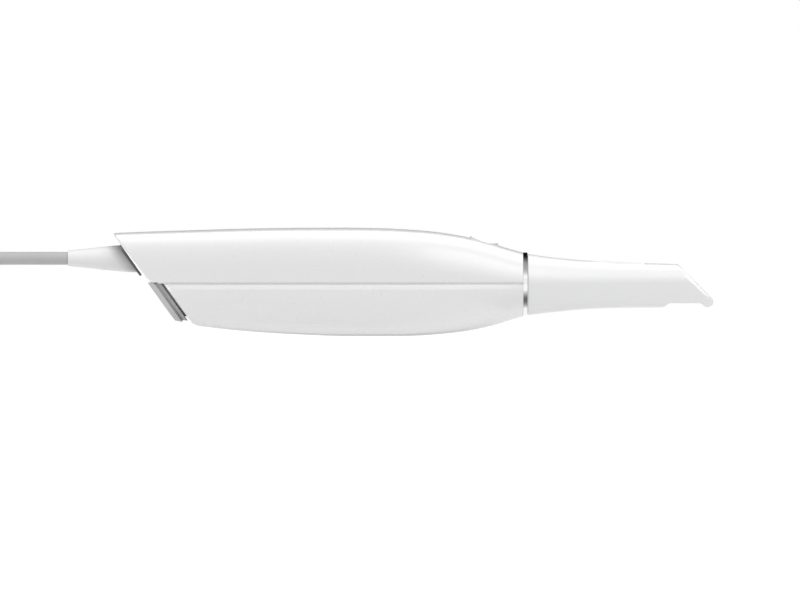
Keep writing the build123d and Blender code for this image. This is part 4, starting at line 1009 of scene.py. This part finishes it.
def polar(el, dist, az=0.0, z0=0.022):
    """A place at an elevation seen from the camera's side (0 front, 90 above, 180 behind)."""
    e, a = math.radians(el), math.radians(az)
    return (dist * math.cos(e) * math.sin(a), -dist * math.cos(e) * math.cos(a), z0 + dist * math.sin(e))


top_soft = area("top_soft", (0.0, -0.02, 0.80), (0.0, 0.0, 0.02), 1.6, 0.5, 3.0, glossy=False)
def gloss(name, lo_el, hi_el, value, x0=-0.9, x1=0.9, dist=0.68):
    """Strip seen only in reflections, from one elevation to another."""
    mid_el, half = (lo_el + hi_el) / 2, math.radians(hi_el - lo_el) / 2
    sy = 2 * dist * math.tan(half)
    px_, py_, pz_ = polar(mid_el, dist)
    cx = (x0 + x1) / 2
    return area(name, (cx, py_, pz_), (cx, 0.0, 0.022), x1 - x0, sy, radiance(value, x1 - x0, sy), diffuse=False)


gloss_sets = [gloss("gloss_back", 90, 136, 3.2), gloss("gloss_top", 80, 90, 2.6), gloss("gloss_70", 68, 80, 1.75),
              gloss("gloss_60", 56, 68, 1.15), gloss("gloss_50", 42, 56, 0.65)]
gloss_side = gloss("gloss_side", 31, 66, 3.0, 0.115, 0.60, 0.50)
gloss_seam = gloss("gloss_seam", 10, 30, 2.0, -0.9, 0.60)
gloss_low = gloss("gloss_side_low", 14, 31, 1.3, 0.125, 0.60, 0.50)
floor_light = [area("floor_strip_%s" % k, (-0.03, yy, 0.0008), (-0.03, yy, 1.0), 0.19, 0.010, radiance(0.22, 0.19, 0.010), glossy=False)
               for k, yy in (("near", -0.0125), ("far", 0.0125))]
gloss_rear = area("gloss_rear", (-0.177, -0.045, 0.0012), (-0.177, -0.045, 1.0), 0.118, 0.13, radiance(5.0, 0.118, 0.13), diffuse=False)
boot_top = area("boot_top", (-0.137, -0.225, 0.033 + 0.556), (-0.137, 0.0, 0.033), 0.5, 0.25, radiance(3.8, 0.5, 0.25), glossy=False)
gloss_tip = area("gloss_tip", (0.131 + 0.60, -0.42, 0.022 + 0.60), (0.131, -0.005, 0.022), 0.55, 0.50, radiance(4.2, 0.55, 0.50),
                 diffuse=False)


def card(name, verts, strength):
    me = bpy.data.meshes.new(name)
    n = len(verts) // 2
    me.from_pydata([tuple(p) for p in verts], [], [(i, i + 1, n + i + 1, n + i) for i in range(n - 1)])
    ob = bpy.data.objects.new(name, me)
    scene.collection.objects.link(ob)
    m = bpy.data.materials.new(name)
    m.use_nodes = True
    nt = m.node_tree
    nt.nodes.remove(nt.nodes["Principled BSDF"])
    e = nt.nodes.new("ShaderNodeEmission")
    e.inputs["Color"].default_value = (1, 1, 1, 1)
    e.inputs["Strength"].default_value = strength
    nt.links.new(e.outputs["Emission"], nt.nodes["Material Output"].inputs["Surface"])
    me.materials.append(m)
    ob.visible_camera = ob.visible_diffuse = ob.visible_shadow = ob.visible_transmission = False
    ob.visible_volume_scatter = False
    ob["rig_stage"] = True
    return ob


def arc_card(name, a0, a1, radius, x0, x1, strength, n=16):
    """Sheet bent round the wand's axis, from elevation a0 to a1 as seen from the camera's side."""
    pts = []
    for x in (x0, x1):
        for k in range(n + 1):
            a = math.radians(a0 + (a1 - a0) * k / n)
            pts.append((x, -radius * math.cos(a), 0.022 + radius * math.sin(a)))
    return card(name, pts, strength)


# what the polished band sees: dark behind, grey above, a grey stripe on the floor in front
edges = [22, 30, 36, 42, 48, 54, 60, 66, 72, 78, 84, 90, 96, 102, 108, 114, 120, 126, 132, 140, 178]
for lo_a, hi_a in zip(edges[:-1], edges[1:]):
    level = float(np.interp((lo_a + hi_a) / 2, [26, 31, 36, 40, 44, 48, 52, 60, 68, 77, 84, 91, 97, 102, 108, 115, 122, 130, 178],
                            [1.12, 1.09, 0.93, 0.78, 0.66, 0.60, 0.53, 0.44, 0.41, 0.39, 0.35, 0.26, 0.20, 0.13, 0.08, 0.035,
                             0.012, 0.006, 0.01]))
    arc_card("flag_%03d" % lo_a, lo_a, hi_a, 1.32, -1.5, 1.5, level, 4)
for k in range(18):
    near_y = 9.0 + 3.0 * k
    level = float(np.interp(near_y + 1.5, [8.9, 10.5, 12.0, 13.6, 15.1, 16.8, 18.5, 20.4, 22.4, 24.6, 27.0, 29.9, 33.0, 36.6, 40.9, 46.3,
                                           52.9, 61.7],
                            [0.84, 0.68, 0.52, 0.376, 0.29, 0.214, 0.168, 0.145, 0.14, 0.155, 0.20, 0.273, 0.35, 0.467, 0.585, 0.70,
                             0.86, 1.01]))
    y0, y1 = -near_y * MM, -(near_y + 3.0) * MM
    xa, xb = 0.0573 - 0.0045 - 0.00012 * near_y, 0.0573 + 0.0045 + 0.00012 * near_y
    card("flag_floor_%02d" % k, [(xa, y0, 0.0006), (xa, y1, 0.0006), (xb, y0, 0.0006), (xb, y1, 0.0006)], level)
card("flag_floor_far", [(0.03, -0.063, 0.0006), (0.03, -0.6, 0.0006), (0.085, -0.063, 0.0006), (0.085, -0.6, 0.0006)], 1.08)
card("flag_floor_under", [(0.045, 0.02, 0.0006), (0.045, -0.009, 0.0006), (0.07, 0.02, 0.0006), (0.07, -0.009, 0.0006)], 1.08)


def link_only(light, name, test):
    """The light reaches only the pieces that pass the test."""
    col = bpy.data.collections.new(name)
    scene.collection.children.link(col)
    for ob in list(scene.objects):
        if ob.type in ("MESH", "CURVE") and test(ob.name) and not ob.get("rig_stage"):
            col.objects.link(ob)
    light.light_linking.receiver_collection = col


# the gloss lights work on the plastic, and leave the polished band to the flags
staged = ("floor", "flag_")
link_only(gloss_sets[0], "plastic", lambda n: n not in ("band_polished", "boot", "cable_cord") and not n.startswith(staged))
for light in gloss_sets[1:]:
    light.light_linking.receiver_collection = gloss_sets[0].light_linking.receiver_collection
link_only(gloss_side, "front_plastic", lambda n: n in ("shell_top", "shell_bottom", "tip_body", "tip_cover", "button_ring", "button_cap"))
gloss_low.light_linking.receiver_collection = gloss_side.light_linking.receiver_collection
link_only(floor_light[0], "underlit", lambda n: n in ("shell_bottom",))
floor_light[1].light_linking.receiver_collection = floor_light[0].light_linking.receiver_collection
link_only(gloss_rear, "rear_edges", lambda n: n in ("shell_top", "shell_bottom"))
gloss_seam.light_linking.receiver_collection = floor_light[0].light_linking.receiver_collection
link_only(gloss_tip, "tip_edge", lambda n: n in ("tip_cover",))
link_only(boot_top, "boot_and_cord", lambda n: n in ("boot", "cable_cord"))
